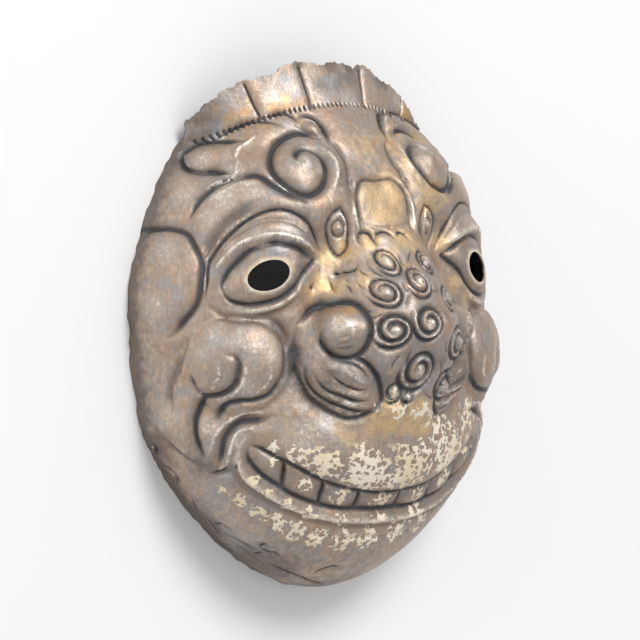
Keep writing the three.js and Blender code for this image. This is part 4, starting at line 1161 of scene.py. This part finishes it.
# %% [markdown]
# ## Floor
# A plain pale board under the mask, wide enough to fill the view.

# %% Floor
bpy.ops.mesh.primitive_plane_add(size=8)
floor = bpy.context.object
floor.name = "floor"
paper = bpy.data.materials.new("pale_floor")
paper.use_nodes = True
paper.node_tree.nodes["Principled BSDF"].inputs["Base Color"].default_value = (0.905, 0.905, 0.90, 1)
paper.node_tree.nodes["Principled BSDF"].inputs["Roughness"].default_value = 0.9
floor.data.materials.append(paper)

# %% [markdown]
# ## Camera
# The mask lies face up, so the camera looks down on it, 39 degrees to one side and a touch
# from the chin. A long lens from far off keeps the shape as flat as in a catalogue view.

# %% Camera
SIDE, RAISE = math.radians(39), math.radians(3)
VIEW_WIDTH, DISTANCE = 332.3, 9.0
RIGHT = np.array([math.cos(SIDE), 0, math.sin(SIDE)])
UP = np.array([math.sin(SIDE) * math.sin(RAISE), math.cos(RAISE), -math.cos(SIDE) * math.sin(RAISE)])
TOWARD = np.array([-math.sin(SIDE) * math.cos(RAISE), math.sin(RAISE), math.cos(SIDE) * math.cos(RAISE)])
aim = (14.5 * RIGHT + 2.6 * UP + SHIFT) * MM
camera = bpy.data.objects.new("camera", bpy.data.cameras.new("camera"))
bpy.context.collection.objects.link(camera)
turn = np.eye(4)
turn[:3, 0], turn[:3, 1], turn[:3, 2] = RIGHT, UP, TOWARD
turn[:3, 3] = aim + DISTANCE * TOWARD
camera.matrix_world = Matrix(turn.tolist())
camera.data.sensor_width = 36
camera.data.lens = 36 * DISTANCE / (VIEW_WIDTH * MM)
bpy.context.scene.camera = camera

# %% [markdown]
# ## Light
# Large soft lamps stand on the camera's side: a strong one high on the right and a broad
# weak one on the left. A pale surround fills the rest.

# %% Light
def lamp(name, right, up, toward, size, power, colour=(1, 1, 1)):
    light = bpy.data.lights.new(name, "AREA")
    light.shape = "DISK"
    light.size = size
    light.energy = power
    light.color = colour
    spot = bpy.data.objects.new(name, light)
    bpy.context.collection.objects.link(spot)
    at = Vector(aim + right * RIGHT + up * UP + toward * TOWARD)
    spot.location = at
    spot.rotation_euler = (at - Vector(aim)).to_track_quat("Z", "Y").to_euler()


lamp("key", 1.8, 2.2, 2.6, 1.7, 86)
lamp("fill", -4.8, 2.0, 5.2, 6.4, 104)
world = bpy.data.worlds.new("surround")
bpy.context.scene.world = world
world.use_nodes = True
world.node_tree.nodes["Background"].inputs["Color"].default_value = (0.97, 0.975, 1.0, 1)
world.node_tree.nodes["Background"].inputs["Strength"].default_value = 0.62
bpy.context.scene.view_settings.view_transform = "Standard"

# %% [markdown]
# ## Update the scene
# The dressed mask has to stay inside the box of the part. This cell only brings the scene up to date.

# %% Update the scene
bpy.context.view_layer.update()
